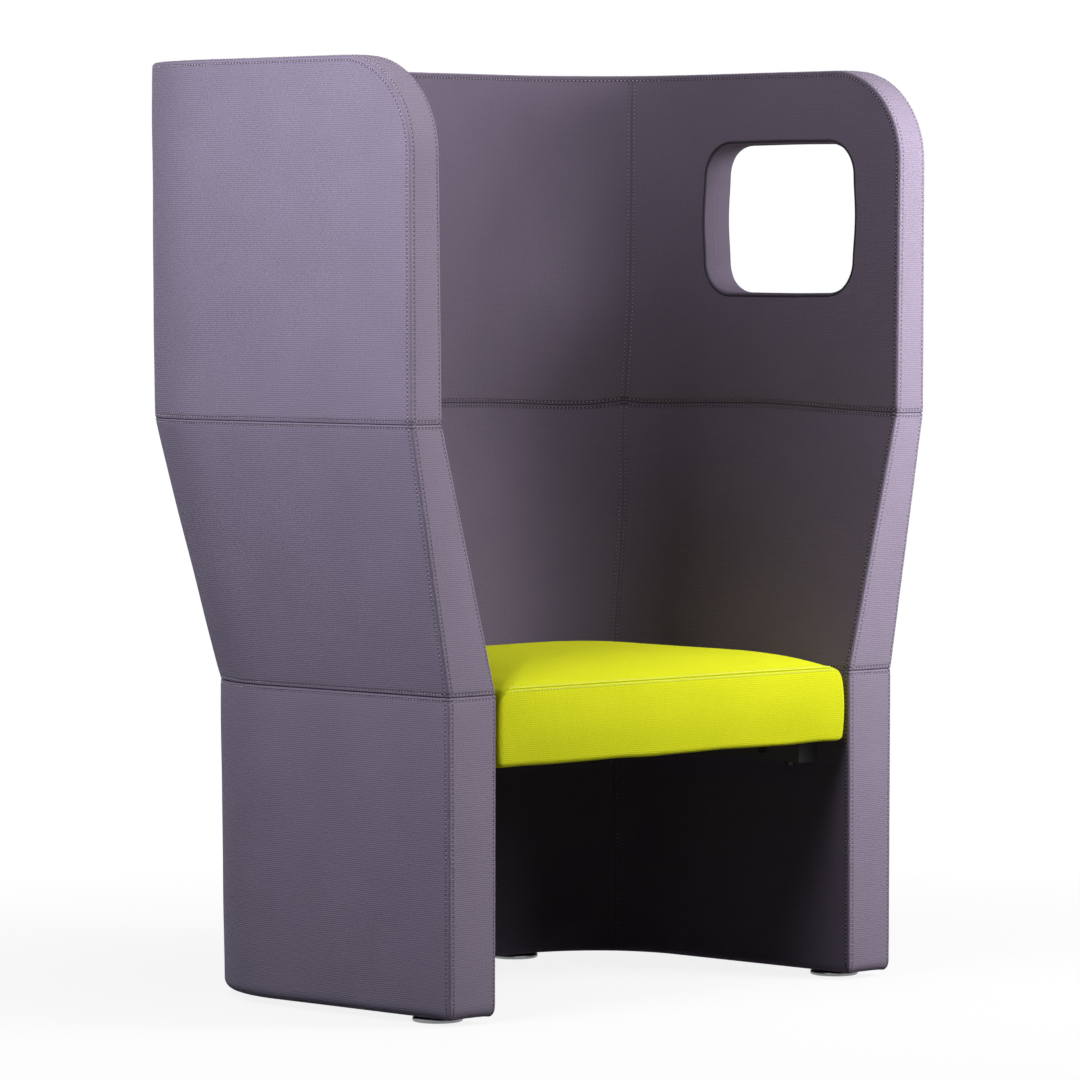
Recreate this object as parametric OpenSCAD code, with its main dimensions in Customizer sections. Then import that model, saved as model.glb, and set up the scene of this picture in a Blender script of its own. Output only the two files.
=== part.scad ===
// High-back acoustic lounge chair: a padded wall on three sides around an upholstered seat.
// X runs across the chair, -Y is the open front and Z is up. The origin is on the floor,
// under the middle of the chair's bounding box.

/* [Wall outline] */
// Height of the wall's top above the floor
wall_h = 1320; // [1260:5:1400]
// Height of the lower sewn seam
low_seam_z = 449; // [430:1:470]
// Height of the upper sewn seam
high_seam_z = 820; // [790:1:850]
// Height of the wall's underside above the floor
floor_gap = 9; // [8:0.5:14]
// Outside width at the top
wall_w = 1042; // [980:1:1090]
// Outside depth at the top
wall_d = 672; // [630:1:700]
// Distance that each side stands in at the upper seam, from its place at the top
side_in_high = 2; // [0:0.5:10]
// Distance that each side stands in at the lower seam
side_in_low = 72; // [50:1:80]
// Distance that each side stands in at the floor
side_in_floor = 74; // [54:1:86]
// Distance that the back stands in at the upper seam, from its place at the top
back_in_high = 2; // [0:0.5:10]
// Distance that the back stands in at the lower seam
back_in_low = 62; // [48:1:74]
// Distance that the back stands in at the floor
back_in_floor = 68; // [50:1:80]
// Outside radius of the two rear corners in plan
corner_r = 243; // [220:1:265]
// Radius of the top front corners of the side walls
top_corner_r = 133; // [100:1:160]
// Radius of the wall's bottom edges
bottom_edge_r = 14; // [12:0.5:22]

/* [Wall thickness and layers] */
// Wall thickness at the floor
base_wall_t = 89; // [84:1:98]
// Wall thickness at the lower seam
low_wall_t = 92; // [80:1:94]
// Wall thickness at the upper seam
high_wall_t = 60; // [52:1:64]
// Wall thickness at the top
top_wall_t = 55; // [54:1:66]
// Thickness of the sewn wall cover with its lining
cover_t = 2.5; // [1.5:0.1:3]
// Foam thickness on each face of the lower tier
foam_low_t = 20; // [18:0.5:22]
// Foam thickness on each face of the upper tier
foam_high_t = 12; // [10:0.5:13]
// Foam thickness along the front and top edges
edge_foam_t = 12; // [8:0.5:16]
// Thickness of the bent board on each face of the frame
board_t = 4; // [3:0.5:5]
// Thickness of the plywood rings, ribs and rails
ply_t = 18; // [15:1:21]
// Depth of the pulled-in sewn seams
seam_dip = 1.5; // [0.5:0.1:2]
// Width of the rolled cloth beside a seam
seam_roll_w = 12; // [8:1:16]
// Angle round the rear corner at which the inner panels are sewn together
corner_seam_angle = 31; // [20:1:45]

/* [Window] */
// Distance from the wall's front edge to the window in the right wall
window_front_margin = 88; // [76:1:110]
// Space between the window's frame and the rib behind it
window_rib_gap = 0.5; // [0.5:0.5:20]
// Distance from the wall's top to the window
window_top_margin = 102.5; // [98:0.5:120]
// Share of the upper tier's height that lies under the window
window_sill_share = 0.337; // [0.3:0.001:0.38]
// Share of the window's height that its corner radius takes
window_r_share = 0.22; // [0.16:0.01:0.28]
// Thickness of the plywood frame round the window
window_frame_t = 12; // [9:0.5:15]

/* [Seat] */
// Rise of the seat's front stitch line above the wall's lower seam
seat_rise = 10; // [0:1:24]
// Height of the seat's front face
seat_t = 110; // [100:1:120]
// Rise of the seat's crown above the stitch line
seat_crown = 29; // [14:0.5:36]
// Gap between the seat and the wall
seat_gap = 3; // [2:0.1:4]
// Setback of the seat's front face from the wall's front edge
seat_setback = 2; // [1:0.5:8]
// Swell of the seat's upright faces
seat_swell = 1.2; // [0.5:0.1:1.5]
// Radius of the seat's front top edge
seat_front_r = 8; // [6:0.5:14]
// Radius of the seat's side and rear top edges
seat_side_r = 30; // [24:1:40]
// Radius of the seat's bottom edges
seat_bottom_r = 13; // [10:0.5:16]
// Radius of the seat's front corners in plan
seat_corner_r = 14; // [10:0.5:20]
// Thickness of the seat board
seat_board_t = 15; // [12:1:18]
// Width of the cover's hem under the seat board
seat_hem_w = 28; // [20:1:36]

/* [Seat bearers and bolts] */
// Height of the bearers under the seat
bearer_h = 34; // [30:1:40]
// Width of the bearers
bearer_w = 40; // [36:1:44]
// Setback of the side bearers from the seat's front
bearer_setback = 60; // [40:1:90]
// Shank diameter of the bearer and seat bolts
bolt_d = 8; // [6:0.5:8]
// Head diameter of the bolts
bolt_head_d = 14; // [12:0.5:16]
// Head height of the bolts
bolt_head_h = 5; // [4:0.5:6]
// Side of the hardwood blocks that the bearer bolts enter
block_w = 60; // [50:1:70]

/* [Glides] */
// Diameter of the glide discs
glide_d = 70; // [64:1:82]
// Thickness of the glide discs
glide_t = 7; // [6:0.5:7.5]
// Diameter of the threaded studs
stud_d = 10; // [8:0.5:12]
// Distance that a glide can be screwed out
glide_travel = 8; // [4:1:10]
// Distance from the wall's front edge to the front glides
front_glide_y = 70; // [70:1:100]
// Angle round the rear corner, from the back, at which the rear glides stand
rear_glide_angle = 7; // [5:1:40]

/* [Hidden] */

// Places that follow from the sizes above
front_y = -wall_d / 2;
sides = [-1, 1];
seat_z = low_seam_z + seat_rise;
seat_base_z = seat_z - seat_t;
// Depth from the front and top edges to the frame
edge_t = cover_t + edge_foam_t;
// Thickness of the dust sheet under the wall
dust_t = 1.5;
// Clearance between the frame pieces and the bent boards
frame_gap = 0.5;
// Clearance of the foam under its cloth and on its board
layer_gap = 0.05;
// Radial clearance of bolts in their holes, and of the threaded studs in their nuts
hole_gap = 0.4;
thread_gap = 0.05;
// Clearance where a moving or soft piece seats on another
seat_clear = 0.3;
// Overrun of cutting tools past the faces that they cut
cut_over = 4;
round_fn = 64;

// Angles of the facets round the rear corners and the top front corners
seam_steps = 3;
back_steps = 6;
corner_angles = [
    for (i = [0:seam_steps - 1]) corner_seam_angle * i / seam_steps,
    for (i = [0:back_steps]) corner_seam_angle + (90 - corner_seam_angle) * i / back_steps
];
top_steps = 6;
top_angles = [for (i = [0:top_steps]) 90 * i / top_steps];
edge_steps = 3;
edge_angles = [for (i = [0:edge_steps]) 90 * i / edge_steps];

// Colours
outer_cloth = [0.46, 0.42, 0.50];
inner_cloth = [0.36, 0.32, 0.38];
band_cloth = [0.52, 0.47, 0.56];
seat_cloth = [0.68, 0.80, 0.03];
foam_colour = [0.93, 0.88, 0.70];
board_colour = [0.62, 0.48, 0.32];
ply_colour = [0.80, 0.65, 0.45];
dark_cloth = [0.08, 0.08, 0.09];
steel_colour = [0.65, 0.66, 0.68];
glide_colour = [0.14, 0.14, 0.15];

// Half width, depth, wall thickness and foam thickness at a height
function half_w(z) = wall_w / 2 - lookup(z, [[0, side_in_floor], [low_seam_z, side_in_low],
    [high_seam_z, side_in_high], [wall_h, 0]]);
function deep(z) = wall_d - lookup(z, [[0, back_in_floor], [low_seam_z, back_in_low],
    [high_seam_z, back_in_high], [wall_h, 0]]);
function thick(z) = lookup(z, [[0, base_wall_t], [low_seam_z, low_wall_t],
    [high_seam_z, high_wall_t], [wall_h, top_wall_t]]);
// Inside faces of the side walls and of the back
function inner_x(z) = half_w(z) - thick(z);
function inner_y(z) = front_y + deep(z) - thick(z);
function foam_t(z) = lookup(z, [[0, foam_low_t], [low_seam_z, foam_low_t],
    [high_seam_z, foam_high_t], [wall_h, foam_high_t]]);

// A face in the wall is [side of the wall, depth under its cloth, share of foam added].
// Side 0 counts from the outside face and side 1 from the room face.
outside = [0, 0, 0];
outside_back = [0, cover_t, 0];
outer_foam_out = [0, cover_t + layer_gap, 0];
outer_foam_in = [0, cover_t - layer_gap, 1];
outer_board_out = [0, cover_t, 1];
outer_board_in = [0, cover_t + board_t, 1];
core_out = [0, cover_t + board_t + frame_gap, 1];
core_in = [1, cover_t + board_t + frame_gap, 1];
inner_board_out = [1, cover_t + board_t, 1];
inner_board_in = [1, cover_t, 1];
inner_foam_out = [1, cover_t - layer_gap, 1];
inner_foam_in = [1, cover_t + layer_gap, 0];
inside_back = [1, cover_t, 0];
inside = [1, 0, 0];

function depth_in(face, z) = face[1] + face[2] * foam_t(z);
function from_outside(face, z, more = 0) =
    let (d = depth_in(face, z) + more) face[0] == 0 ? d : thick(z) - d;
// Between two heights: the side wall's straight depth, and the x of its core's two faces
function straight_d(z0, z1) = min(deep(z0), deep(z1)) - corner_r;
function face_x(face, z) = half_w(z) - from_outside(face, z);
function core_out_x(z0, z1) = min(face_x(core_out, z0), face_x(core_out, z1));
function core_in_x(z0, z1) = max(face_x(core_in, z0), face_x(core_in, z1));

// A column is [kind, angle, side]: kind 0 is on the rounded top front corner or the front
// edge below it, and kind 1 on the rear corner, with its angle counted from the side wall
function place_in(col, setback, half, depth, d) = col[0] == 0
    ? [col[2] * (half - d), front_y + top_corner_r - (top_corner_r - setback) * cos(col[1])]
    : [col[2] * (half - corner_r + (corner_r - d) * cos(col[1])),
       front_y + depth - corner_r + (corner_r - d) * sin(col[1])];
function plan_place(col, setback, z, d) = place_in(col, setback, half_w(z), deep(z), d);
function column_top(col, setback) = col[0] == 0
    ? wall_h - top_corner_r + (top_corner_r - setback) * sin(col[1])
    : wall_h - setback;

function reversed(list) = [for (i = [len(list) - 1:-1:0]) list[i]];
function corner_cols(side) = [for (a = corner_angles) [1, a, side]];
function panel_cols(side) = [for (i = [0:seam_steps]) [1, corner_angles[i], side]];
function back_cols(side) = [for (i = [seam_steps:len(corner_angles) - 1]) [1, corner_angles[i], side]];
function front_cols(side, rounded) =
    rounded ? [for (a = top_angles) [0, a, side]] : [[0, 0, side]];

// Columns of the whole wall and of the left, back and right inner panels, always clockwise
function wall_cols(rounded) = concat(front_cols(-1, rounded), corner_cols(-1),
    reversed(corner_cols(1)), reversed(front_cols(1, rounded)));
function left_cols(rounded) = concat(front_cols(-1, rounded), panel_cols(-1));
function middle_cols() = concat(back_cols(-1), reversed(back_cols(1)));
function right_cols(rounded) = concat(reversed(panel_cols(1)), reversed(front_cols(1, rounded)));

// A row is [share of the tier's height, added height, dip of the cloth, angle of the bottom edge]
plain_rows = [[0, 0, 0], [1, 0, 0]];
seam_rows = [[0, 0, seam_dip], [0, seam_roll_w, 0], [1, -seam_roll_w, 0], [1, 0, seam_dip]];
lower_rows = concat([for (a = edge_angles) [0, 0, 0, a]],
    [[1, -seam_roll_w, 0], [1, 0, seam_dip]]);

function bottom_depth(d, angle) = d <= bottom_edge_r
    ? bottom_edge_r - (bottom_edge_r - d) * sin(angle)
    : d;
function bottom_height(d, angle) =
    floor_gap + bottom_edge_r - (bottom_edge_r - min(d, cover_t)) * cos(angle);

function wall_point(col, row, z0, z1, setback, face, dips) = is_undef(row[3])
    ? let (top = is_undef(z1) ? column_top(col, setback) : z1,
           z = z0 + row[0] * (top - z0) + row[1],
           p = plan_place(col, setback, z, from_outside(face, z, dips ? row[2] : 0)))
      [p[0], p[1], z]
    : let (d = depth_in(face, z0), z = bottom_height(d, row[3]), e = bottom_depth(d, row[3]),
           p = plan_place(col, setback, z, face[0] == 0 ? e : thick(z) - e))
      [p[0], p[1], z];
function wall_grid(cols, rows, z0, z1, setback, face, dips = false) =
    [for (col = cols) [for (row = rows) wall_point(col, row, z0, z1, setback, face, dips)]];

// Solid between two grids of points with the same columns and rows
module sheet_solid(far, near) {
    n = len(far);
    m = len(far[0]);
    function f(i, j) = i * m + j;
    function g(i, j) = n * m + i * m + j;
    function quad(a, b, c, d) = [[a, b, c], [a, c, d]];
    points = concat([for (c = far) each c], [for (c = near) each c]);
    faces = concat(
        [for (i = [0:n - 2], j = [0:m - 2]) each quad(f(i, j), f(i + 1, j), f(i + 1, j + 1), f(i, j + 1))],
        [for (i = [0:n - 2], j = [0:m - 2]) each quad(g(i, j), g(i, j + 1), g(i + 1, j + 1), g(i + 1, j))],
        [for (i = [0:n - 2]) each quad(f(i + 1, 0), f(i, 0), g(i, 0), g(i + 1, 0))],
        [for (i = [0:n - 2]) each quad(f(i, m - 1), f(i + 1, m - 1), g(i + 1, m - 1), g(i, m - 1))],
        [for (j = [0:m - 2]) each quad(f(0, j), f(0, j + 1), g(0, j + 1), g(0, j))],
        [for (j = [0:m - 2]) each quad(f(n - 1, j + 1), f(n - 1, j), g(n - 1, j), g(n - 1, j + 1))]);
    polyhedron(points, faces, convexity = 10);
}

// Layer of the wall between two faces, for one tier
module wall_layer(cols, rows, z0, z1, setback, out_face, in_face, dip_out = false, dip_in = false) {
    sheet_solid(wall_grid(cols, rows, z0, z1, setback, out_face, dip_out),
        wall_grid(cols, rows, z0, z1, setback, in_face, dip_in));
}

// Outer covers: three sewn panels, each wrapped round the whole wall
module outer_cover_lower() {
    color(outer_cloth)
        wall_layer(wall_cols(false), lower_rows, floor_gap, low_seam_z, cover_t,
            outside, outside_back, dip_out = true);
}

module outer_cover_middle() {
    color(outer_cloth)
        wall_layer(wall_cols(false), seam_rows, low_seam_z, high_seam_z, cover_t,
            outside, outside_back, dip_out = true);
}

module outer_cover_upper() {
    color(outer_cloth) difference() {
        wall_layer(wall_cols(true), seam_rows, high_seam_z, undef, cover_t,
            outside, outside_back, dip_out = true);
        window_cut(0);
    }
}

// Inner covers: left, back and right panels in each tier, sewn together near the corners
module inner_cover_panel(cols, tier) {
    rows = tier == 0 ? lower_rows : seam_rows;
    z0 = [floor_gap, low_seam_z, high_seam_z][tier];
    z1 = [low_seam_z, high_seam_z, undef][tier];
    color(inner_cloth)
        wall_layer(cols, rows, z0, z1, cover_t, inside_back, inside, dip_in = true);
}

module left_inner_cover_lower() {
    difference() {
        inner_cover_panel(left_cols(false), 0);
        bearer_bolt_holes();
    }
}

module left_inner_cover_middle() {
    inner_cover_panel(left_cols(false), 1);
}

module left_inner_cover_upper() {
    inner_cover_panel(left_cols(true), 2);
}

module back_inner_cover_lower() {
    difference() {
        inner_cover_panel(middle_cols(), 0);
        bearer_bolt_holes();
    }
}

module back_inner_cover_middle() {
    inner_cover_panel(middle_cols(), 1);
}

module back_inner_cover_upper() {
    inner_cover_panel(middle_cols(), 2);
}

module right_inner_cover_lower() {
    difference() {
        inner_cover_panel(right_cols(false), 0);
        bearer_bolt_holes();
    }
}

module right_inner_cover_middle() {
    inner_cover_panel(right_cols(false), 1);
}

module right_inner_cover_upper() {
    difference() {
        inner_cover_panel(right_cols(true), 2);
        window_cut(0);
    }
}

// A place along the edge band is [kind, angle or height, side, inset of its bottom corners,
// dip]: kind 3 is on the straight front edge, and kinds 0 and 1 are the wall's own columns
function band_place(stop, setback, face, more) =
    let (straight = stop[0] == 3,
         z = straight ? stop[1] : column_top(stop, setback),
         inset = max(stop[3] - depth_in(face, z), 0),
         d = from_outside(face, z, more + inset),
         p = straight ? [stop[2] * (half_w(z) - d), front_y + setback]
                      : plan_place(stop, setback, z, d))
    [p[0], p[1], z];
// Points across the band: the sewn edges are dipped, and the cloth rolls up to full height
function band_row(stop, setback, dips) =
    let (s = setback + (dips ? stop[4] : 0), e = setback + (dips ? seam_dip : 0))
    [band_place(stop, e, outside, 0), band_place(stop, s, outside, seam_roll_w),
     band_place(stop, s, inside, seam_roll_w), band_place(stop, e, inside, 0)];
module edge_band(stops) {
    color(band_cloth)
        sheet_solid([for (s = stops) band_row(s, 0, true)],
            [for (s = stops) band_row(s, cover_t, false)]);
}

function lower_stops(side) = concat(
    [for (a = edge_angles) [3, bottom_height(0, a), side, bottom_depth(0, a), 0]],
    [[3, low_seam_z - seam_roll_w, side, 0, 0], [3, low_seam_z, side, 0, seam_dip]]);
function middle_stops(side) = [[3, low_seam_z, side, 0, seam_dip],
    [3, low_seam_z + seam_roll_w, side, 0, 0], [3, high_seam_z - seam_roll_w, side, 0, 0],
    [3, high_seam_z, side, 0, seam_dip]];
function upper_stops(side) = concat(
    [[3, high_seam_z, side, 0, seam_dip], [3, high_seam_z + seam_roll_w, side, 0, 0]],
    [for (a = top_angles) [0, a, side, 0, 0]], [for (a = corner_angles) [1, a, side, 0, 0]]);

module left_edge_band_lower() {
    edge_band(lower_stops(-1));
}

module left_edge_band_middle() {
    edge_band(middle_stops(-1));
}

module right_edge_band_lower() {
    edge_band(reversed(lower_stops(1)));
}

module right_edge_band_middle() {
    edge_band(reversed(middle_stops(1)));
}

// One strip up the left front edge, round the whole top and down the right front edge
module top_edge_band() {
    edge_band(concat(upper_stops(-1), reversed(upper_stops(1))));
}

// Window: a straight opening through the right wall, its cloth lining and its plywood frame
tier_h = wall_h - high_seam_z;
window_h = tier_h * (1 - window_sill_share) - window_top_margin;
window_z = wall_h - window_top_margin - window_h / 2;
window_r = window_h * window_r_share;
rear_rib_y = straight_d(high_seam_z, wall_h) - ply_t;
window_rear_y = rear_rib_y - window_rib_gap - window_frame_t - cover_t;
window_w = window_rear_y - window_front_margin;
window_y = front_y + window_front_margin + window_w / 2;
module window_outline(grow) {
    w = window_w + 2 * grow;
    h = window_h + 2 * grow;
    r = window_r + grow;
    union() {
        square([w - 2 * r, h], center = true);
        square([w, h - 2 * r], center = true);
        for (i = sides, j = sides)
            translate([i * (w / 2 - r), j * (h / 2 - r)])
                circle(r, $fn = round_fn);
    }
}

module window_prism(grow, x0, x1) {
    translate([x0, window_y, window_z])
        rotate([90, 0, 90])
            linear_extrude(x1 - x0)
                window_outline(grow);
}

module window_cut(grow) {
    x_in = min(inner_x(high_seam_z), inner_x(wall_h));
    window_prism(grow, x_in - cut_over, half_w(wall_h) + cut_over);
}

// Room between the two covers at the window, with its ends sloped as the wall's faces are
module window_room(inset) {
    z0 = high_seam_z;
    z1 = wall_h;
    translate([0, window_y + window_w, 0])
        rotate([90, 0, 0])
            linear_extrude(2 * window_w)
                polygon([[inner_x(z0) + inset, z0], [half_w(z0) - inset, z0],
                         [half_w(z1) - inset, z1], [inner_x(z1) + inset, z1]]);
}

module window_lining() {
    color(band_cloth) difference() {
        intersection() {
            window_prism(cover_t, 0, half_w(wall_h));
            window_room(cover_t + seat_clear);
        }
        window_cut(0);
    }
}

module window_frame() {
    x0 = core_in_x(high_seam_z, wall_h);
    x1 = core_out_x(high_seam_z, wall_h);
    color(ply_colour) difference() {
        window_prism(cover_t + window_frame_t, x0, x1);
        window_cut(cover_t + seat_clear);
    }
}

// Foam sheets on both faces of the frame, one per tier, and the strip along the edges
module outer_foam_lower() {
    color(foam_colour)
        wall_layer(wall_cols(false), lower_rows, floor_gap, low_seam_z, cover_t,
            outer_foam_out, outer_foam_in);
}

module outer_foam_middle() {
    color(foam_colour)
        wall_layer(wall_cols(false), plain_rows, low_seam_z, high_seam_z, cover_t,
            outer_foam_out, outer_foam_in);
}

module outer_foam_upper() {
    color(foam_colour) difference() {
        wall_layer(wall_cols(true), plain_rows, high_seam_z, undef, cover_t,
            outer_foam_out, outer_foam_in);
        window_cut(cover_t);
    }
}

module inner_foam_lower() {
    color(foam_colour) difference() {
        wall_layer(wall_cols(false), lower_rows, floor_gap, low_seam_z, cover_t,
            inner_foam_out, inner_foam_in);
        bearer_bolt_holes();
    }
}

module inner_foam_middle() {
    color(foam_colour)
        wall_layer(wall_cols(false), plain_rows, low_seam_z, high_seam_z, cover_t,
            inner_foam_out, inner_foam_in);
}

module inner_foam_upper() {
    color(foam_colour) difference() {
        wall_layer(wall_cols(true), plain_rows, high_seam_z, undef, cover_t,
            inner_foam_out, inner_foam_in);
        window_cut(cover_t);
    }
}

function foam_stops(side) = concat(
    [[3, floor_gap + dust_t, side, 0, 0], [3, low_seam_z, side, 0, 0], [3, high_seam_z, side, 0, 0]],
    [for (a = top_angles) [0, a, side, 0, 0]], [for (a = corner_angles) [1, a, side, 0, 0]]);
module edge_foam() {
    stops = concat(foam_stops(-1), reversed(foam_stops(1)));
    function across(stop, s) =
        [band_place(stop, s, outer_board_out, 0), band_place(stop, s, inner_board_in, 0)];
    color(foam_colour)
        sheet_solid([for (s = stops) across(s, cover_t)], [for (s = stops) across(s, edge_t)]);
}

// Bent boards that carry the foam, on both faces of the ribs
module outer_board_lower() {
    color(board_colour)
        wall_layer(wall_cols(false), plain_rows, floor_gap + dust_t, low_seam_z, edge_t,
            outer_board_out, outer_board_in);
}

module outer_board_middle() {
    color(board_colour)
        wall_layer(wall_cols(false), plain_rows, low_seam_z, high_seam_z, edge_t,
            outer_board_out, outer_board_in);
}

module outer_board_upper() {
    color(board_colour) difference() {
        wall_layer(wall_cols(true), plain_rows, high_seam_z, undef, edge_t,
            outer_board_out, outer_board_in);
        window_cut(cover_t + seat_clear);
    }
}

module inner_board_lower() {
    color(board_colour) difference() {
        wall_layer(wall_cols(false), plain_rows, floor_gap + dust_t, low_seam_z, edge_t,
            inner_board_out, inner_board_in);
        bearer_bolt_holes();
    }
}

module inner_board_middle() {
    color(board_colour)
        wall_layer(wall_cols(false), plain_rows, low_seam_z, high_seam_z, edge_t,
            inner_board_out, inner_board_in);
}

module inner_board_upper() {
    color(board_colour) difference() {
        wall_layer(wall_cols(true), plain_rows, high_seam_z, undef, edge_t,
            inner_board_out, inner_board_in);
        window_cut(cover_t + seat_clear);
    }
}

// Flat plywood rings, cut to the wall's plan between two faces, at their tightest heights
module plan_ring(z0, t, setback, cols, out_face, in_face) {
    z1 = z0 + t;
    out_d = max(from_outside(out_face, z0), from_outside(out_face, z1));
    in_d = min(from_outside(in_face, z0), from_outside(in_face, z1));
    out_half = min(half_w(z0), half_w(z1));
    in_half = max(half_w(z0), half_w(z1));
    out_depth = min(deep(z0), deep(z1));
    in_depth = max(deep(z0), deep(z1));
    outer = [for (c = cols) place_in(c, setback, out_half, out_depth, out_d)];
    inner = [for (c = cols) place_in(c, setback, in_half, in_depth, in_d)];
    translate([0, 0, z0])
        linear_extrude(t)
            polygon(concat(outer, reversed(inner)));
}

module base_plate() {
    color(ply_colour) difference() {
        plan_ring(floor_gap + dust_t, ply_t, edge_t, wall_cols(false), core_out, core_in);
        glide_holes(tee_barrel_d + 2 * hole_gap);
    }
}

// The dust sheet closes the wall's underside between the turned-in covers
module base_dust_cover() {
    sheet_out = [0, bottom_edge_r, 0];
    sheet_in = [1, bottom_edge_r, 0];
    color(dark_cloth) difference() {
        plan_ring(floor_gap, dust_t, cover_t, wall_cols(false), sheet_out, sheet_in);
        glide_holes(glide_boss_d + 2 * boss_hole_gap);
    }
}

module low_seam_ring() {
    color(ply_colour)
        plan_ring(low_seam_z - ply_t, ply_t, edge_t, wall_cols(false), core_out, core_in);
}

module high_seam_ring() {
    color(ply_colour)
        plan_ring(high_seam_z, ply_t, edge_t, wall_cols(false), core_out, core_in);
}

module top_rail() {
    cols = concat([[0, 90, -1]], corner_cols(-1), reversed(corner_cols(1)), [[0, 90, 1]]);
    color(ply_colour)
        plan_ring(wall_h - edge_t - ply_t, ply_t, edge_t, cols, core_out, core_in);
}

// Upright ribs between the rings: side ribs cut to the wall's section, set at a distance
// from the front edge, and back ribs set at a distance from the middle
module side_rib(side, z0, z1, y) {
    function x_at(face, z) = side * face_x(face, z);
    translate([0, front_y + y + ply_t, 0])
        rotate([90, 0, 0])
            linear_extrude(ply_t)
                polygon([[x_at(core_out, z0), z0], [x_at(core_out, z1), z1],
                         [x_at(core_in, z1), z1], [x_at(core_in, z0), z0]]);
}

module back_rib(z0, z1, x) {
    function y_at(face, z) = front_y + deep(z) - from_outside(face, z);
    translate([x - ply_t / 2, 0, 0])
        rotate([90, 0, 90])
            linear_extrude(ply_t)
                polygon([[y_at(core_out, z0), z0], [y_at(core_out, z1), z1],
                         [y_at(core_in, z1), z1], [y_at(core_in, z0), z0]]);
}

module rib_set(z0, z1, front_top) {
    back_x = min(half_w(z0), half_w(z1)) - corner_r - ply_t;
    rear_y = straight_d(z0, z1) - ply_t;
    color(ply_colour) {
        for (side = sides) {
            side_rib(side, z0, front_top, edge_t);
            side_rib(side, z0, z1, rear_y);
        }
        for (x = [-back_x, 0, back_x])
            back_rib(z0, z1, x);
    }
}

module lower_ribs() {
    rib_set(floor_gap + dust_t + ply_t, low_seam_z - ply_t, low_seam_z - ply_t);
}

module middle_ribs() {
    rib_set(low_seam_z, high_seam_z, high_seam_z);
}

module upper_ribs() {
    rib_set(high_seam_z + ply_t, wall_h - edge_t - ply_t, wall_h - top_corner_r);
}

// Quarter-round blocks that join the front ribs to the top rail
top_block_w = 45;
module top_corner_blocks() {
    z0 = wall_h - top_corner_r;
    x_out = core_out_x(z0, wall_h);
    x_in = core_in_x(z0, wall_h);
    r = top_corner_r - edge_t - layer_gap;
    function arc(r) = [for (a = top_angles) [-r * cos(a), r * sin(a)]];
    color(ply_colour)
        for (side = sides)
            translate([side > 0 ? x_in : -x_out, front_y + top_corner_r, z0])
                rotate([90, 0, 90])
                    linear_extrude(x_out - x_in)
                        polygon(concat(arc(r), reversed(arc(r - top_block_w))));
}

// Seat outline in plan, drawn in by one inset at the front and another at sides and back.
// Each point also says what share of the front edge's own rounding it takes.
seat_half_w = half_w(seat_base_z) - thick(seat_base_z) - seat_gap;
seat_deep = deep(seat_base_z) - thick(seat_base_z) - seat_gap;
seat_rear_r = corner_r - thick(seat_base_z) - seat_gap;
seat_front_steps = 3;
seat_rear_steps = 8;
seat_side_stops = 3;
seat_middle_y = front_y + seat_deep / 2;

function seat_side_points(side, side_inset, front_inset) =
    let (hw = seat_half_w - side_inset,
         y0 = front_y + seat_setback + front_inset,
         yc = front_y + seat_deep - seat_rear_r)
    concat(
        [for (i = [seat_front_steps:-1:0])
            let (a = 90 * i / seat_front_steps)
            [side * (hw - seat_corner_r * (1 - cos(a))), y0 + seat_corner_r * (1 - sin(a))]],
        [for (i = [1:seat_side_stops])
            [side * hw, y0 + seat_corner_r + (yc - y0 - seat_corner_r) * i / (seat_side_stops + 1)]],
        [for (i = [0:seat_rear_steps])
            let (a = 90 * i / seat_rear_steps)
            [side * (seat_half_w - seat_rear_r + (seat_rear_r - side_inset) * cos(a)),
             yc + (seat_rear_r - side_inset) * sin(a)]]);
function seat_front_shares() = concat(
    [for (i = [seat_front_steps:-1:0]) i / seat_front_steps],
    [for (i = [1:seat_side_stops + seat_rear_steps + 1]) 0]);
front_shares = concat(seat_front_shares(), reversed(seat_front_shares()));

// One ring of the seat: insets and heights for the side edges and for the front edge
function seat_ring(side_inset, front_inset, side_z, front_z) =
    let (plan = concat(seat_side_points(-1, side_inset, front_inset),
                       reversed(seat_side_points(1, side_inset, front_inset))))
    [for (i = [0:len(plan) - 1])
        [plan[i][0], plan[i][1], side_z + (front_z - side_z) * front_shares[i]]];
// One ring of the crown, drawn in towards the middle of the seat: steep at its edge, flat within
crown_power = 4;
crown_shares = [0.06, 0.15, 0.28, 0.48, 0.7, 0.92];
function crown_ring(edge, share, z) = [for (p = edge)
    [p[0] * (1 - share), p[1] + (seat_middle_y - p[1]) * share,
     z + seat_crown * (1 - pow(1 - share, crown_power))]];

// Rings of the seat's skin at a depth under its cloth, from its underside to its crown
function seat_rings(depth, flat_z) =
    let (rb = seat_bottom_r - depth, rs = seat_side_r - depth, rf = seat_front_r - depth,
         mid_z = seat_base_z + seat_t / 2,
         sides_up = [for (a = edge_angles)
             seat_ring(seat_side_r - rs * cos(a), seat_front_r - rf * cos(a),
                       seat_z - seat_side_r + rs * sin(a), seat_z - seat_front_r + rf * sin(a))],
         edge = sides_up[len(sides_up) - 1])
    concat(
        [for (a = edge_angles)
            let (inset = seat_bottom_r - rb * sin(a), z = seat_base_z + seat_bottom_r - rb * cos(a))
            if (is_undef(flat_z) || z > flat_z) seat_ring(inset, inset, z, z)],
        [seat_ring(depth - seat_swell, depth - seat_swell, mid_z, mid_z)],
        sides_up,
        [for (s = crown_shares) crown_ring(edge, s, seat_z - depth)]);

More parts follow.
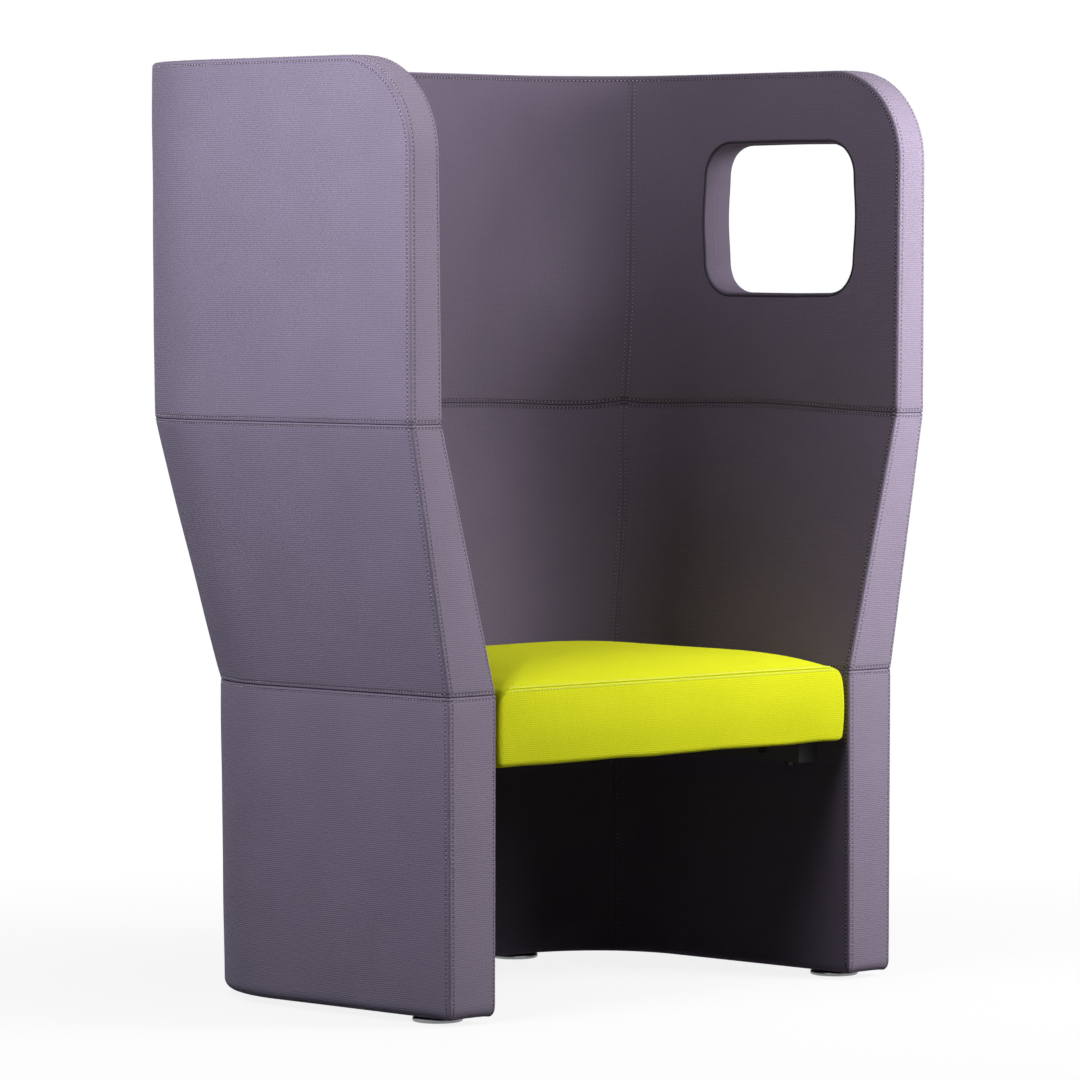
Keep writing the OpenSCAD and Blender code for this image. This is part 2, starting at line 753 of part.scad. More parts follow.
// Solid closed by a stack of rings, and the hollow one between two such stacks
function ring_faces(rings, size, first) =
    [for (k = [0:rings - 2], i = [0:size - 1])
        let (j = (i + 1) % size, a = first + k * size, b = a + size)
        each [[a + i, a + j, b + j], [a + i, b + j, b + i]]];
function turned(faces) = [for (f = faces) reversed(f)];
module ring_solid(rings) {
    n = len(rings);
    m = len(rings[0]);
    polyhedron([for (r = rings) each r],
        concat(ring_faces(n, m, 0),
            [[for (i = [m - 1:-1:0]) i]], [[for (i = [0:m - 1]) (n - 1) * m + i]]),
        convexity = 6);
}
module ring_shell(outer, inner) {
    n = len(outer);
    m = len(outer[0]);
    all = n * m;
    lip = [for (i = [0:m - 1])
        let (j = (i + 1) % m) each [[j, i, all + i], [j, all + i, all + j]]];
    polyhedron(concat([for (r = outer) each r], [for (r = inner) each r]),
        concat(ring_faces(n, m, 0), turned(ring_faces(n, m, all)), lip,
            [[for (i = [0:m - 1]) (n - 1) * m + i]],
            [[for (i = [m - 1:-1:0]) all + (n - 1) * m + i]]),
        convexity = 6);
}

seat_board_z = seat_base_z + cover_t;
seat_hem_inset = seat_bottom_r + seat_hem_w;
module seat_cover() {
    hem_z = seat_base_z + cover_t;
    color(seat_cloth) difference() {
        ring_shell(
            concat([seat_ring(seat_hem_inset, seat_hem_inset, seat_base_z, seat_base_z)],
                seat_rings(0)),
            concat([seat_ring(seat_hem_inset, seat_hem_inset, hem_z, hem_z)],
                seat_rings(cover_t)));
        seat_bolt_holes();
    }
}

module seat_foam() {
    top = seat_board_z + seat_board_t;
    color(foam_colour)
        ring_solid(concat([seat_ring(seat_bottom_r, seat_bottom_r, top, top)],
            [seat_ring(cover_t, cover_t, top, top)],
            seat_rings(cover_t, top)));
}

module seat_plan(inset) {
    ring = seat_ring(inset, inset, 0, 0);
    polygon([for (p = ring) [p[0], p[1]]]);
}

module seat_board() {
    color(ply_colour) difference() {
        translate([0, 0, seat_board_z])
            linear_extrude(seat_board_t)
                seat_plan(seat_bottom_r);
        seat_bolt_holes();
        for (p = seat_bolt_places)
            translate([p[0], p[1], seat_board_z])
                cylinder(d = tee_barrel_d + 2 * thread_gap, h = seat_board_t, $fn = round_fn);
    }
}

// Hardwood bearers: two along the side walls and one along the back, bolted to the wall
bearer_z = seat_base_z - bearer_h;
bearer_side_y = front_y + seat_setback + bearer_setback;
bearer_side_l = seat_deep - seat_rear_r - bearer_setback;
bearer_back_l = 2 * (seat_half_w - seat_rear_r);
bearer_mid_z = bearer_z + bearer_h / 2;
module seat_bearers() {
    top = seat_base_z - seat_clear;
    color(ply_colour) difference() {
        union() {
            for (side = sides)
                translate([0, bearer_side_y + bearer_side_l, 0])
                    rotate([90, 0, 0])
                        linear_extrude(bearer_side_l)
                            polygon([for (p = [[inner_x(bearer_z) - seat_clear, bearer_z],
                                               [inner_x(top) - seat_clear, top],
                                               [inner_x(bearer_z) - bearer_w, top],
                                               [inner_x(bearer_z) - bearer_w, bearer_z]])
                                         [side * p[0], p[1]]]);
            translate([-bearer_back_l / 2, 0, 0])
                rotate([90, 0, 90])
                    linear_extrude(bearer_back_l)
                        polygon([[inner_y(bearer_z) - seat_clear, bearer_z],
                                 [inner_y(top) - seat_clear, top],
                                 [inner_y(bearer_z) - bearer_w, top],
                                 [inner_y(bearer_z) - bearer_w, bearer_z]]);
        }
        bearer_bolt_holes();
        seat_bolt_holes();
    }
}

// Bearer bolts run out through the room side of the wall into the blocks in its core.
// Each place is [direction, place along the bearer].
bearer_bolt_inset = 70;
bearer_bolt_places = [
    for (side = sides, y = [bearer_side_y + bearer_bolt_inset,
                          bearer_side_y + bearer_side_l - bearer_bolt_inset])
        [side, y],
    for (x = [bearer_bolt_inset - bearer_back_l / 2, bearer_back_l / 2 - bearer_bolt_inset]) [0, x]
];
// Puts its children with +X pointing out through the wall, at the bearer's room side
module at_bearer_bolts() {
    for (p = bearer_bolt_places)
        if (p[0] == 0)
            translate([p[1], inner_y(bearer_z) - bearer_w, bearer_mid_z])
                rotate([0, 0, 90])
                    children();
        else
            translate([p[0] * (inner_x(bearer_z) - bearer_w), p[1], bearer_mid_z])
                rotate([0, 0, p[0] > 0 ? 0 : 180])
                    children();
}

core_depth = low_wall_t - 2 * (cover_t + foam_low_t + board_t + frame_gap);
bearer_bolt_l = bearer_w + cover_t + foam_low_t + board_t + core_depth / 2;
module bearer_bolt_holes() {
    at_bearer_bolts()
        rotate([0, 90, 0])
            translate([0, 0, -cut_over])
                cylinder(d = bolt_d + 2 * hole_gap, h = bearer_bolt_l + cut_over, $fn = round_fn);
}

module bearer_bolts() {
    color(steel_colour)
        at_bearer_bolts()
            rotate([0, 90, 0])
                union() {
                    cylinder(d = bolt_d, h = bearer_bolt_l, $fn = round_fn);
                    translate([0, 0, -bolt_head_h])
                        cylinder(d = bolt_head_d, h = bolt_head_h, $fn = round_fn);
                }
}

module bearer_blocks() {
    z0 = bearer_mid_z - block_w / 2;
    z1 = bearer_mid_z + block_w / 2;
    function x_at(face, z) = face_x(face, z);
    function y_at(face, z) = front_y + deep(z) - from_outside(face, z);
    color(ply_colour) difference() {
        for (p = bearer_bolt_places)
            if (p[0] == 0)
                translate([p[1] - block_w / 2, 0, 0])
                    rotate([90, 0, 90])
                        linear_extrude(block_w)
                            polygon([[y_at(core_out, z0), z0], [y_at(core_out, z1), z1],
                                     [y_at(core_in, z1), z1], [y_at(core_in, z0), z0]]);
            else
                translate([0, p[1] + block_w / 2, 0])
                    rotate([90, 0, 0])
                        linear_extrude(block_w)
                            polygon([[p[0] * x_at(core_out, z0), z0], [p[0] * x_at(core_out, z1), z1],
                                     [p[0] * x_at(core_in, z1), z1], [p[0] * x_at(core_in, z0), z0]]);
        at_bearer_bolts()
            rotate([0, 90, 0])
                cylinder(d = bolt_d + 2 * thread_gap, h = bearer_bolt_l + hole_gap, $fn = round_fn);
    }
}

// Seat bolts come up through the side bearers into tee nuts in the seat board
tee_wall_t = 1.5;
tee_barrel_d = stud_d + 2 * tee_wall_t;
tee_flange_d = 24;
tee_flange_t = 2;
seat_bolt_inset = 30;
seat_bolt_edge = 14;
seat_bolt_x = inner_x(bearer_z) - bearer_w + seat_bolt_edge;
seat_bolt_places = [
    for (side = sides, y = [bearer_side_y + seat_bolt_inset,
                            bearer_side_y + bearer_side_l - seat_bolt_inset])
        [side * seat_bolt_x, y]
];
module seat_bolt_holes() {
    for (p = seat_bolt_places)
        translate([p[0], p[1], bearer_z - cut_over])
            cylinder(d = bolt_d + 2 * hole_gap, h = seat_board_z - bearer_z + cut_over, $fn = round_fn);
}

module seat_bolts() {
    color(steel_colour)
        for (p = seat_bolt_places)
            translate([p[0], p[1], bearer_z])
                union() {
                    cylinder(d = bolt_d, h = seat_board_z + seat_board_t - bearer_z, $fn = round_fn);
                    translate([0, 0, -bolt_head_h])
                        cylinder(d = bolt_head_d, h = bolt_head_h, $fn = round_fn);
                }
}

module seat_tee_nuts() {
    color(steel_colour)
        for (p = seat_bolt_places)
            translate([p[0], p[1], seat_board_z])
                difference() {
                    cylinder(d = tee_barrel_d, h = seat_board_t, $fn = round_fn);
                    translate([0, 0, -cut_over])
                        cylinder(d = bolt_d + 2 * thread_gap, h = seat_board_t + 2 * cut_over,
                            $fn = round_fn);
                }
}

// Glides: a wide disc with a boss and a threaded stud, screwed into a tee nut in the base plate
glide_boss_d = 22;
boss_hole_gap = 5;
glide_chamfer = 1.5;
base_top_z = floor_gap + dust_t + ply_t;
stud_reach = 4;
front_glide_x = half_w(0) - thick(0) / 2;
rear_glide_x = half_w(0) - corner_r + (corner_r - thick(0) / 2) * sin(rear_glide_angle);
rear_glide_y = deep(0) - corner_r + (corner_r - thick(0) / 2) * cos(rear_glide_angle);
function glide_xy(side, rear) = rear
    ? [side * rear_glide_x, front_y + rear_glide_y]
    : [side * front_glide_x, front_y + front_glide_y];
module at_glides() {
    for (side = sides, rear = [false, true])
        translate(glide_xy(side, rear))
            children();
}

module glide_holes(d) {
    at_glides()
        cylinder(d = d, h = base_top_z + cut_over, $fn = round_fn);
}

module glide_tee_nuts() {
    color(steel_colour)
        at_glides()
            difference() {
                union() {
                    translate([0, 0, floor_gap + dust_t])
                        cylinder(d = tee_barrel_d, h = ply_t, $fn = round_fn);
                    translate([0, 0, base_top_z])
                        cylinder(d = tee_flange_d, h = tee_flange_t, $fn = round_fn);
                }
                cylinder(d = stud_d + 2 * thread_gap, h = base_top_z + tee_flange_t + cut_over,
                    $fn = round_fn);
            }
}

module glide(side, rear) {
    boss_top = floor_gap + dust_t - seat_clear;
    color(glide_colour)
        translate(glide_xy(side, rear))
            difference() {
                union() {
                    rotate_extrude($fn = round_fn)
                        polygon([[0, 0], [glide_d / 2 - glide_chamfer, 0],
                                 [glide_d / 2, glide_chamfer],
                                 [glide_d / 2, glide_t - glide_chamfer],
                                 [glide_d / 2 - glide_chamfer, glide_t], [0, glide_t]]);
                    cylinder(d = glide_boss_d, h = boss_top, $fn = round_fn);
                }
                translate([0, 0, glide_t / 2])
                    cylinder(d = stud_d, h = floor_gap + cut_over, $fn = round_fn);
            }
}

module stud(side, rear) {
    z1 = base_top_z + tee_flange_t + glide_travel + stud_reach;
    color(steel_colour)
        translate(glide_xy(side, rear))
            translate([0, 0, glide_t / 2])
                cylinder(d = stud_d, h = z1 - glide_t / 2, $fn = round_fn);
}

module front_left_glide() {
    glide(-1, false);
}

module front_right_glide() {
    glide(1, false);
}

module rear_left_glide() {
    glide(-1, true);
}

module rear_right_glide() {
    glide(1, true);
}

module front_left_stud() {
    stud(-1, false);
}

module front_right_stud() {
    stud(1, false);
}

module rear_left_stud() {
    stud(-1, true);
}

module rear_right_stud() {
    stud(1, true);
}

outer_cover_lower();
outer_cover_middle();
outer_cover_upper();
left_inner_cover_lower();
left_inner_cover_middle();
left_inner_cover_upper();
back_inner_cover_lower();
back_inner_cover_middle();
back_inner_cover_upper();
right_inner_cover_lower();
right_inner_cover_middle();
right_inner_cover_upper();
left_edge_band_lower();
left_edge_band_middle();
right_edge_band_lower();
right_edge_band_middle();
top_edge_band();
window_lining();
base_dust_cover();
outer_foam_lower();
outer_foam_middle();
outer_foam_upper();
inner_foam_lower();
inner_foam_middle();
inner_foam_upper();
edge_foam();
outer_board_lower();
outer_board_middle();
outer_board_upper();
inner_board_lower();
inner_board_middle();
inner_board_upper();
base_plate();
low_seam_ring();
high_seam_ring();
top_rail();
lower_ribs();
middle_ribs();
upper_ribs();
top_corner_blocks();
window_frame();
bearer_blocks();
seat_cover();
seat_foam();
seat_board();
seat_bearers();
bearer_bolts();
seat_bolts();
seat_tee_nuts();
glide_tee_nuts();
front_left_glide();
front_right_glide();
rear_left_glide();
rear_right_glide();
front_left_stud();
front_right_stud();
rear_left_stud();
rear_right_stud();
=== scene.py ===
import math

import bmesh
import bpy
import numpy as np
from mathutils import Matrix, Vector, geometry
from mathutils.bvhtree import BVHTree
from mathutils.kdtree import KDTree


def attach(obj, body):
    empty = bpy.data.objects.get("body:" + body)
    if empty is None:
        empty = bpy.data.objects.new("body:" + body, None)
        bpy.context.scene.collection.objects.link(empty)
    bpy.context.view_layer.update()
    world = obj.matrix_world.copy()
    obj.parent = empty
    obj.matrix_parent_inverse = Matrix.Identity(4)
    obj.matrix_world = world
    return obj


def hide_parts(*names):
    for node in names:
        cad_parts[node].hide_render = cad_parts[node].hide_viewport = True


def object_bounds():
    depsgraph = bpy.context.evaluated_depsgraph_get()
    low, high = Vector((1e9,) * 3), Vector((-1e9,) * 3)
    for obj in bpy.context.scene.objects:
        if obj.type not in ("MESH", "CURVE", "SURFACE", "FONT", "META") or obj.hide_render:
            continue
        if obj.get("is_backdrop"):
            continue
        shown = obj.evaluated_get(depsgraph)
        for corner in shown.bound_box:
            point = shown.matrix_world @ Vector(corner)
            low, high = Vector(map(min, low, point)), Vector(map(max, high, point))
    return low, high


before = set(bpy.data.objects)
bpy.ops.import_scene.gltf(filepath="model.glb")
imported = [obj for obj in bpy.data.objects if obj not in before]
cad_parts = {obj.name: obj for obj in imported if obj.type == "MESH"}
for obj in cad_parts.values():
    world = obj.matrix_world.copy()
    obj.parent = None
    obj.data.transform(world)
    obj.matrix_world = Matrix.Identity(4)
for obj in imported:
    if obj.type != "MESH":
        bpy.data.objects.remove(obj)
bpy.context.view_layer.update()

# Lengths below are in millimetres, divided by this where Blender takes metres
mm = 1000.0

# Carcass: bent boards on rings and ribs of birch plywood, glued and stapled.
# All of it lies under the padding, and the edges of the plies show where it is opened.
pale_birch = (0.62, 0.45, 0.27, 1.0)
brown_birch = (0.47, 0.31, 0.17, 1.0)


def new_group(name, inputs, outputs):
    group = bpy.data.node_groups.new(name, "ShaderNodeTree")
    for socket, kind, value in inputs:
        item = group.interface.new_socket(name=socket, in_out="INPUT", socket_type=kind)
        if value is not None:
            item.default_value = value
    for socket, kind in outputs:
        group.interface.new_socket(name=socket, in_out="OUTPUT", socket_type=kind)
    return group, group.nodes.new("NodeGroupInput"), group.nodes.new("NodeGroupOutput")


def new_finish(name):
    finish = bpy.data.materials.new(name)
    finish.use_nodes = True
    return finish, finish.node_tree.nodes, finish.node_tree.links


def fill(node, values):
    """Sets a node's sockets by name or number."""
    for socket, value in values.items():
        node.inputs[socket].default_value = value


def add(nodes, kind, values, **settings):
    """New node with its settings and then its sockets filled in."""
    node = nodes.new(kind)
    for key, value in settings.items():
        setattr(node, key, value)
    fill(node, values)
    return node


def raise_bump(finish, height, strength, distance):
    """Bump on a finish's surface, from a height in one of its nodes."""
    nodes, links = finish.node_tree.nodes, finish.node_tree.links
    bump = add(nodes, "ShaderNodeBump", {"Strength": strength, "Distance": distance})
    links.new(height, bump.inputs["Height"])
    links.new(bump.outputs["Normal"], nodes["Principled BSDF"].inputs["Normal"])


def wood_grain():
    group, given, result = new_group(
        "wood_grain",
        [("Vector", "NodeSocketVector", None),
         ("Pale", "NodeSocketColor", (0.6, 0.45, 0.3, 1.0)),
         ("Brown", "NodeSocketColor", (0.45, 0.3, 0.2, 1.0)),
         ("Stretch", "NodeSocketFloat", 12.0)],
        [("Colour", "NodeSocketColor"), ("Height", "NodeSocketFloat")])
    nodes = group.nodes
    links = group.links
    mapped = add(nodes, "ShaderNodeVectorMath", {1: (90.0, 90.0, 6.0)}, operation="MULTIPLY")
    fibres = add(nodes, "ShaderNodeTexNoise", {"Detail": 5.0})
    rings = add(nodes, "ShaderNodeTexNoise", {"Detail": 2.0})
    blend = add(nodes, "ShaderNodeMix", {}, data_type="RGBA")
    links.new(given.outputs["Vector"], mapped.inputs[0])
    links.new(mapped.outputs[0], fibres.inputs["Vector"])
    links.new(given.outputs["Stretch"], fibres.inputs["Scale"])
    links.new(given.outputs["Vector"], rings.inputs["Vector"])
    links.new(given.outputs["Stretch"], rings.inputs["Scale"])
    both = add(nodes, "ShaderNodeMath", {}, operation="MULTIPLY")
    links.new(fibres.outputs["Fac"], both.inputs[0])
    links.new(rings.outputs["Fac"], both.inputs[1])
    links.new(both.outputs[0], blend.inputs["Factor"])
    links.new(given.outputs["Pale"], blend.inputs["A"])
    links.new(given.outputs["Brown"], blend.inputs["B"])
    links.new(blend.outputs["Result"], result.inputs["Colour"])
    links.new(fibres.outputs["Fac"], result.inputs["Height"])
    return group


grain_group = wood_grain()


def birch_finish(name, pale, brown, stretch):
    finish, nodes, links = new_finish(name)
    shader = nodes["Principled BSDF"]
    fill(shader, {"Roughness": 0.62})
    where = nodes.new("ShaderNodeTexCoord")
    grain = add(nodes, "ShaderNodeGroup", {"Pale": pale, "Brown": brown,
                                           "Stretch": stretch}, node_tree=grain_group)
    links.new(where.outputs["Object"], grain.inputs["Vector"])
    links.new(grain.outputs["Colour"], shader.inputs["Base Color"])
    raise_bump(finish, grain.outputs["Height"], 0.15, 0.0006)
    return finish


birch = birch_finish("birch_plywood", pale_birch, brown_birch, 3.0)
# Near-black birch for the seat board and its bearers: painted shade for the dark space under the
# seat.
shade_black_birch = birch_finish("near_black_shade_birch", (0.014, 0.013, 0.013, 1.0),
                           (0.008, 0.007, 0.007, 1.0), 3.0)
bent_birch = birch_finish("bent_board", (0.55, 0.40, 0.25, 1.0), (0.40, 0.27, 0.15, 1.0), 2.0)


def dress(finish, names):
    for name in names:
        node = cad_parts[name]
        node.data.materials.clear()
        node.data.materials.append(finish)


dress(birch, ["base_plate", "low_seam_ring", "high_seam_ring", "top_rail", "lower_ribs",
              "middle_ribs", "upper_ribs", "top_corner_blocks", "window_frame",
              "bearer_blocks"])
dress(shade_black_birch, ["seat_board", "seat_bearers"])
dress(bent_birch, ["outer_board_lower", "outer_board_middle", "outer_board_upper",
                   "inner_board_lower", "inner_board_middle", "inner_board_upper"])

# Outer padding: cut foam under woven wool cloth, sewn in three tiers round the whole wall.
# Each tier is stapled under the next and stitched along both sides of its seams.
wall_w = 1042.0
wall_d = 672.0
low_seam = 449.0
high_seam = 820.0
wall_top = 1320.0
wall_foot = 9.0
front_y = -wall_d / 2
# At the floor, the two seams and the top: how far the wall stands in, its thickness, its pads
heights = [0.0, low_seam, high_seam, wall_top]
side_inset = [74.0, 72.0, 2.0, 0.0]
back_inset = [68.0, 62.0, 2.0, 0.0]
thickness = [89.0, 92.0, 60.0, 55.0]
pad_depth = [22.5, 22.5, 14.5, 14.5]
corner_r = 243.0
top_r = 133.0
straight = 429.0
corner_run = corner_r * math.pi / 2
half_run = straight + corner_run + wall_w / 2 - corner_r
edge_r = 5.0
edge_arc = edge_r * math.pi / 4
foot_r = 14.0
stitch_row = 4.6
edge_row = 5.6
cloth_step = 14.0
corner_step = 13.0
bend_steps = 18
side_stops = 28
top_stops_each = 22
row_half = 1.05
seam_half = 1.1
seam_reach = [0.0, 0.5, 1.2, 2.3, 3.6, 4.0, 4.6, 5.2, 5.8, 8.0, 12.0]
seam_drop = [2.3, 1.3, 0.5, 0.12, 0.25, 0.5, 0.8, 0.5, 0.25, 0.08, 0.0]
seam_stops = seam_reach + [18.0, 27.0]
edge_reach = [0, 0.5, 1.2, 2.4]
edge_stops = [0.0, 0.5, 1.2, 2.4, 3.2, edge_arc, 4.5, 5.0, 5.6, 6.2, 6.8, 8.0, 10.0, 14.0, 18.0,
              24.0, 32.0, 43.0, 57.0]
rng = np.random.default_rng(41)
ripples = [(rng.uniform(60, 260), rng.uniform(0, 2 * math.pi), rng.uniform(0, 2 * math.pi))
           for _ in range(14)]


def half_width(z):
    return wall_w / 2 - np.interp(z, heights, side_inset)


def wall_depth(z):
    return wall_d - np.interp(z, heights, back_inset)


def wall_thickness(z):
    return np.interp(z, heights, thickness)


def padding_depth(z):
    return np.interp(z, heights, pad_depth)


def on_wall(run, z, depth):
    """Point at a run round the wall from its left front, a height, a depth under the outside."""
    left = run < half_run
    a = np.where(left, run, 2 * half_run - run)
    half = half_width(z)
    deep = wall_depth(z)
    stretch = (deep - corner_r - top_r) / (straight - top_r)
    side_y = front_y + np.where(a < top_r, a, top_r + (a - top_r) * stretch)
    angle = np.clip((a - straight) / corner_r, 0.0, math.pi / 2)
    corner_x = half - corner_r + (corner_r - depth) * np.cos(angle)
    corner_y = front_y + deep - corner_r + (corner_r - depth) * np.sin(angle)
    back_x = (half - corner_r) * (half_run - a) / (half_run - straight - corner_run)
    at_side = a <= straight
    at_back = a >= straight + corner_run
    x = np.where(at_side, half - depth, np.where(at_back, back_x, corner_x))
    y = np.where(at_side, side_y, np.where(at_back, front_y + deep - depth, corner_y))
    return np.stack([np.where(left, -x, x), y, z + 0.0 * x], -1)


def round_edge(t, lift, r):
    """Setback and depth at an arc distance from the seam on a soft edge, drawn in by lift."""
    turn = np.minimum(t / r, math.pi / 4) + math.pi / 4
    past = np.maximum(t - r * math.pi / 4, 0.0)
    return r - (r - lift) * np.cos(turn) + past, r - (r - lift) * np.sin(turn)


def edge_distance(setback):
    return setback - edge_r + edge_arc


def seam_dip(distance):
    return np.interp(np.abs(distance), seam_reach, seam_drop)


def edge_dip(distance):
    """How far the edge seam and its row of stitches draw the cloth in."""
    seam = np.interp(distance, edge_reach, [0.3, 0.12, 0.03, 0])
    row = np.interp(np.abs(distance - edge_row), [0, 0.6, 1.2, 2], [0.45, 0.3, 0.1, 0])
    return np.maximum(seam, row)


def window_dip(distance):
    return np.interp(distance, edge_reach, [1.6, 0.9, 0.3, 0])


def row_shade(distance, row, seam):
    """Painted shade on a row of stitches' needle line, and on the seam in a strength of its own.
    """
    away = np.abs(distance)
    holes = np.clip(1.6 - np.abs(away - row) / row_half, 0.0, 1.0)
    return np.maximum(holes * 0.9, np.clip(1.0 - away / seam_half, 0.0, 1.0) * seam)


def ripple(u, v, size):
    total = 0.0 * u
    for length, heading, phase in ripples:
        total = total + np.sin((u * math.cos(heading) + v * math.sin(heading)) * 2 * math.pi
                               / length + phase)
    return total * size / len(ripples) ** 0.5


def foot_roll(z, t):
    """How far the cloth has turned in under the wall, less at the seamed edges."""
    down = np.clip(wall_foot + foot_r - z, 0.0, foot_r)
    return (foot_r - np.sqrt(foot_r ** 2 - down ** 2)) * np.interp(t, [0.0, 25.0], [0.6, 1.0])


class Sheet:
    """Cloth laid out flat, as points that are shared where they meet, and faces.

    A point holds its run and height, its way in from the edge, its distances from the edge
    and from the window, and 1 on the window's ring.
    """

    def __init__(self):
        self.points = []
        self.index = {}
        self.faces = []

    @staticmethod
    def key(p):
        """Where a point lies on the wall, to a tenth, which tells it from the others."""
        distance, r = (p[5], window_edge_r) if p[6] else (p[4], edge_r)
        setback = round_edge(distance, 0.0, r)[0]
        return round(float(p[0] + p[2] * setback), 1), round(float(p[1] + p[3] * setback), 1)

    def point(self, p):
        key = self.key(p)
        if key not in self.index:
            self.index[key] = len(self.points)
            self.points.append(p)
        return self.index[key]

    def grid(self, table):
        ids = [[self.point(p) for p in line] for line in table]
        for low, high in zip(ids, ids[1:]):
            for k in range(len(low) - 1):
                face = [low[k], low[k + 1], high[k + 1], high[k]]
                ring = [f for n, f in enumerate(face) if f != face[n - 1]]
                if len(ring) > 2:
                    self.faces.append(ring)


window_edge_r = 5.0
far = 400.0


def tier_rows(z0, z1, stops0, stops1, step):
    """Heights of a tier, close together at its seams and a step apart between them."""
    start = z0 + stops0[-1]
    end = z1 - stops1[-1]
    count = max(int(round((end - start) / step)), 2)
    middle = list(np.linspace(start, end, count + 1))[1:-1]
    return [z0 + s for s in stops0] + middle + [z1 - s for s in reversed(stops1)]


def run_stops(start, end, seams, step):
    """Runs round the wall between two ends, close together beside each sewn end."""
    first = seam_stops if seams[0] else [0.0]
    last = seam_stops if seams[1] else [0.0]
    return tier_rows(start, end, first, last, step)


foot_stops = [0.0, 0.3, 1.5, 3.4, 6.0, 9.5, 14.0, 20.0, 27.0]


def side_columns():
    """Runs and edge distances from the front edge to where the corner starts."""
    edge = [(0.0, 1.0, t) for t in edge_stops]
    start = round_edge(edge_stops[-1], 0.0, edge_r)[0]
    more = np.linspace(start, straight, side_stops)[1:]
    return edge + [(a, 0.0, edge_distance(a)) for a in more]


def mirrored(columns):
    return [(2 * half_run - a, -d, t) for a, d, t in reversed(columns)]


def corner_columns(start, end, seams):
    return [(a, 0.0, far) for a in run_stops(start, end, seams, corner_step)]


def plain_tier(columns, rows):
    sheet = Sheet()
    sheet.grid([[(a, z, d, 0.0, t, far, 0) for a, d, t in columns] for z in rows])
    return sheet


def outline_setback(a, z):
    """How far a place on the upper side lies in from the edge, round the top corner too."""
    if a < top_r and z > wall_top - top_r:
        return top_r - math.hypot(a - top_r, z - wall_top + top_r)
    return min(a, wall_top - z)


window_y = -96.0
window_z = 1104.0
window_w = 304.0
window_h = 225.0
window_r = 50.4
window_side_bow = 3.6
window_top_bow = 0.7
window_ring = [0.0, 0.5, 1.1, 2.0, 3.0, 3.93, 6.0, 9.0, 13.0, 18.0]


def window_outline():
    """Points and outward ways round the window, with sides bowed out a little."""
    places = []
    half_w = window_w / 2 - window_side_bow * 0.8 - window_r
    half_h = window_h / 2 - window_r
    for quarter, (sx, sz) in enumerate([(1, 1), (-1, 1), (-1, -1), (1, -1)]):
        for k in range(13):
            angle = (quarter + k / 12) * math.pi / 2
            places.append((sx * half_w + window_r * math.cos(angle),
                           sz * half_h + window_r * math.sin(angle),
                           math.cos(angle), math.sin(angle)))
        nx, nz = [(0, 1), (-1, 0), (0, -1), (1, 0)][quarter]
        span = 2 * half_w if nz else 2 * half_h
        full = window_top_bow if nz else window_side_bow
        count = int(span / 10)
        tx, tz = -nz, nx
        ex = sx * half_w + window_r * nx
        ez = sz * half_h + window_r * nz
        for k in range(1, count):
            s = k / count
            bow = full * math.sin(math.pi * s) ** 1.5
            slope = full * 1.5 * math.pi * math.sin(math.pi * s) ** 0.5 * math.cos(math.pi * s)
            slope = slope / span
            px = ex + tx * span * s + nx * bow
            pz = ez + tz * span * s + nz * bow
            vx, vz = nx - tx * slope, nz - tz * slope
            size = math.hypot(vx, vz)
            places.append((px, pz, vx / size, vz / size))
    return [(window_y - front_y + x, window_z + z, dx, dz) for x, z, dx, dz in places]


window_path = window_outline()


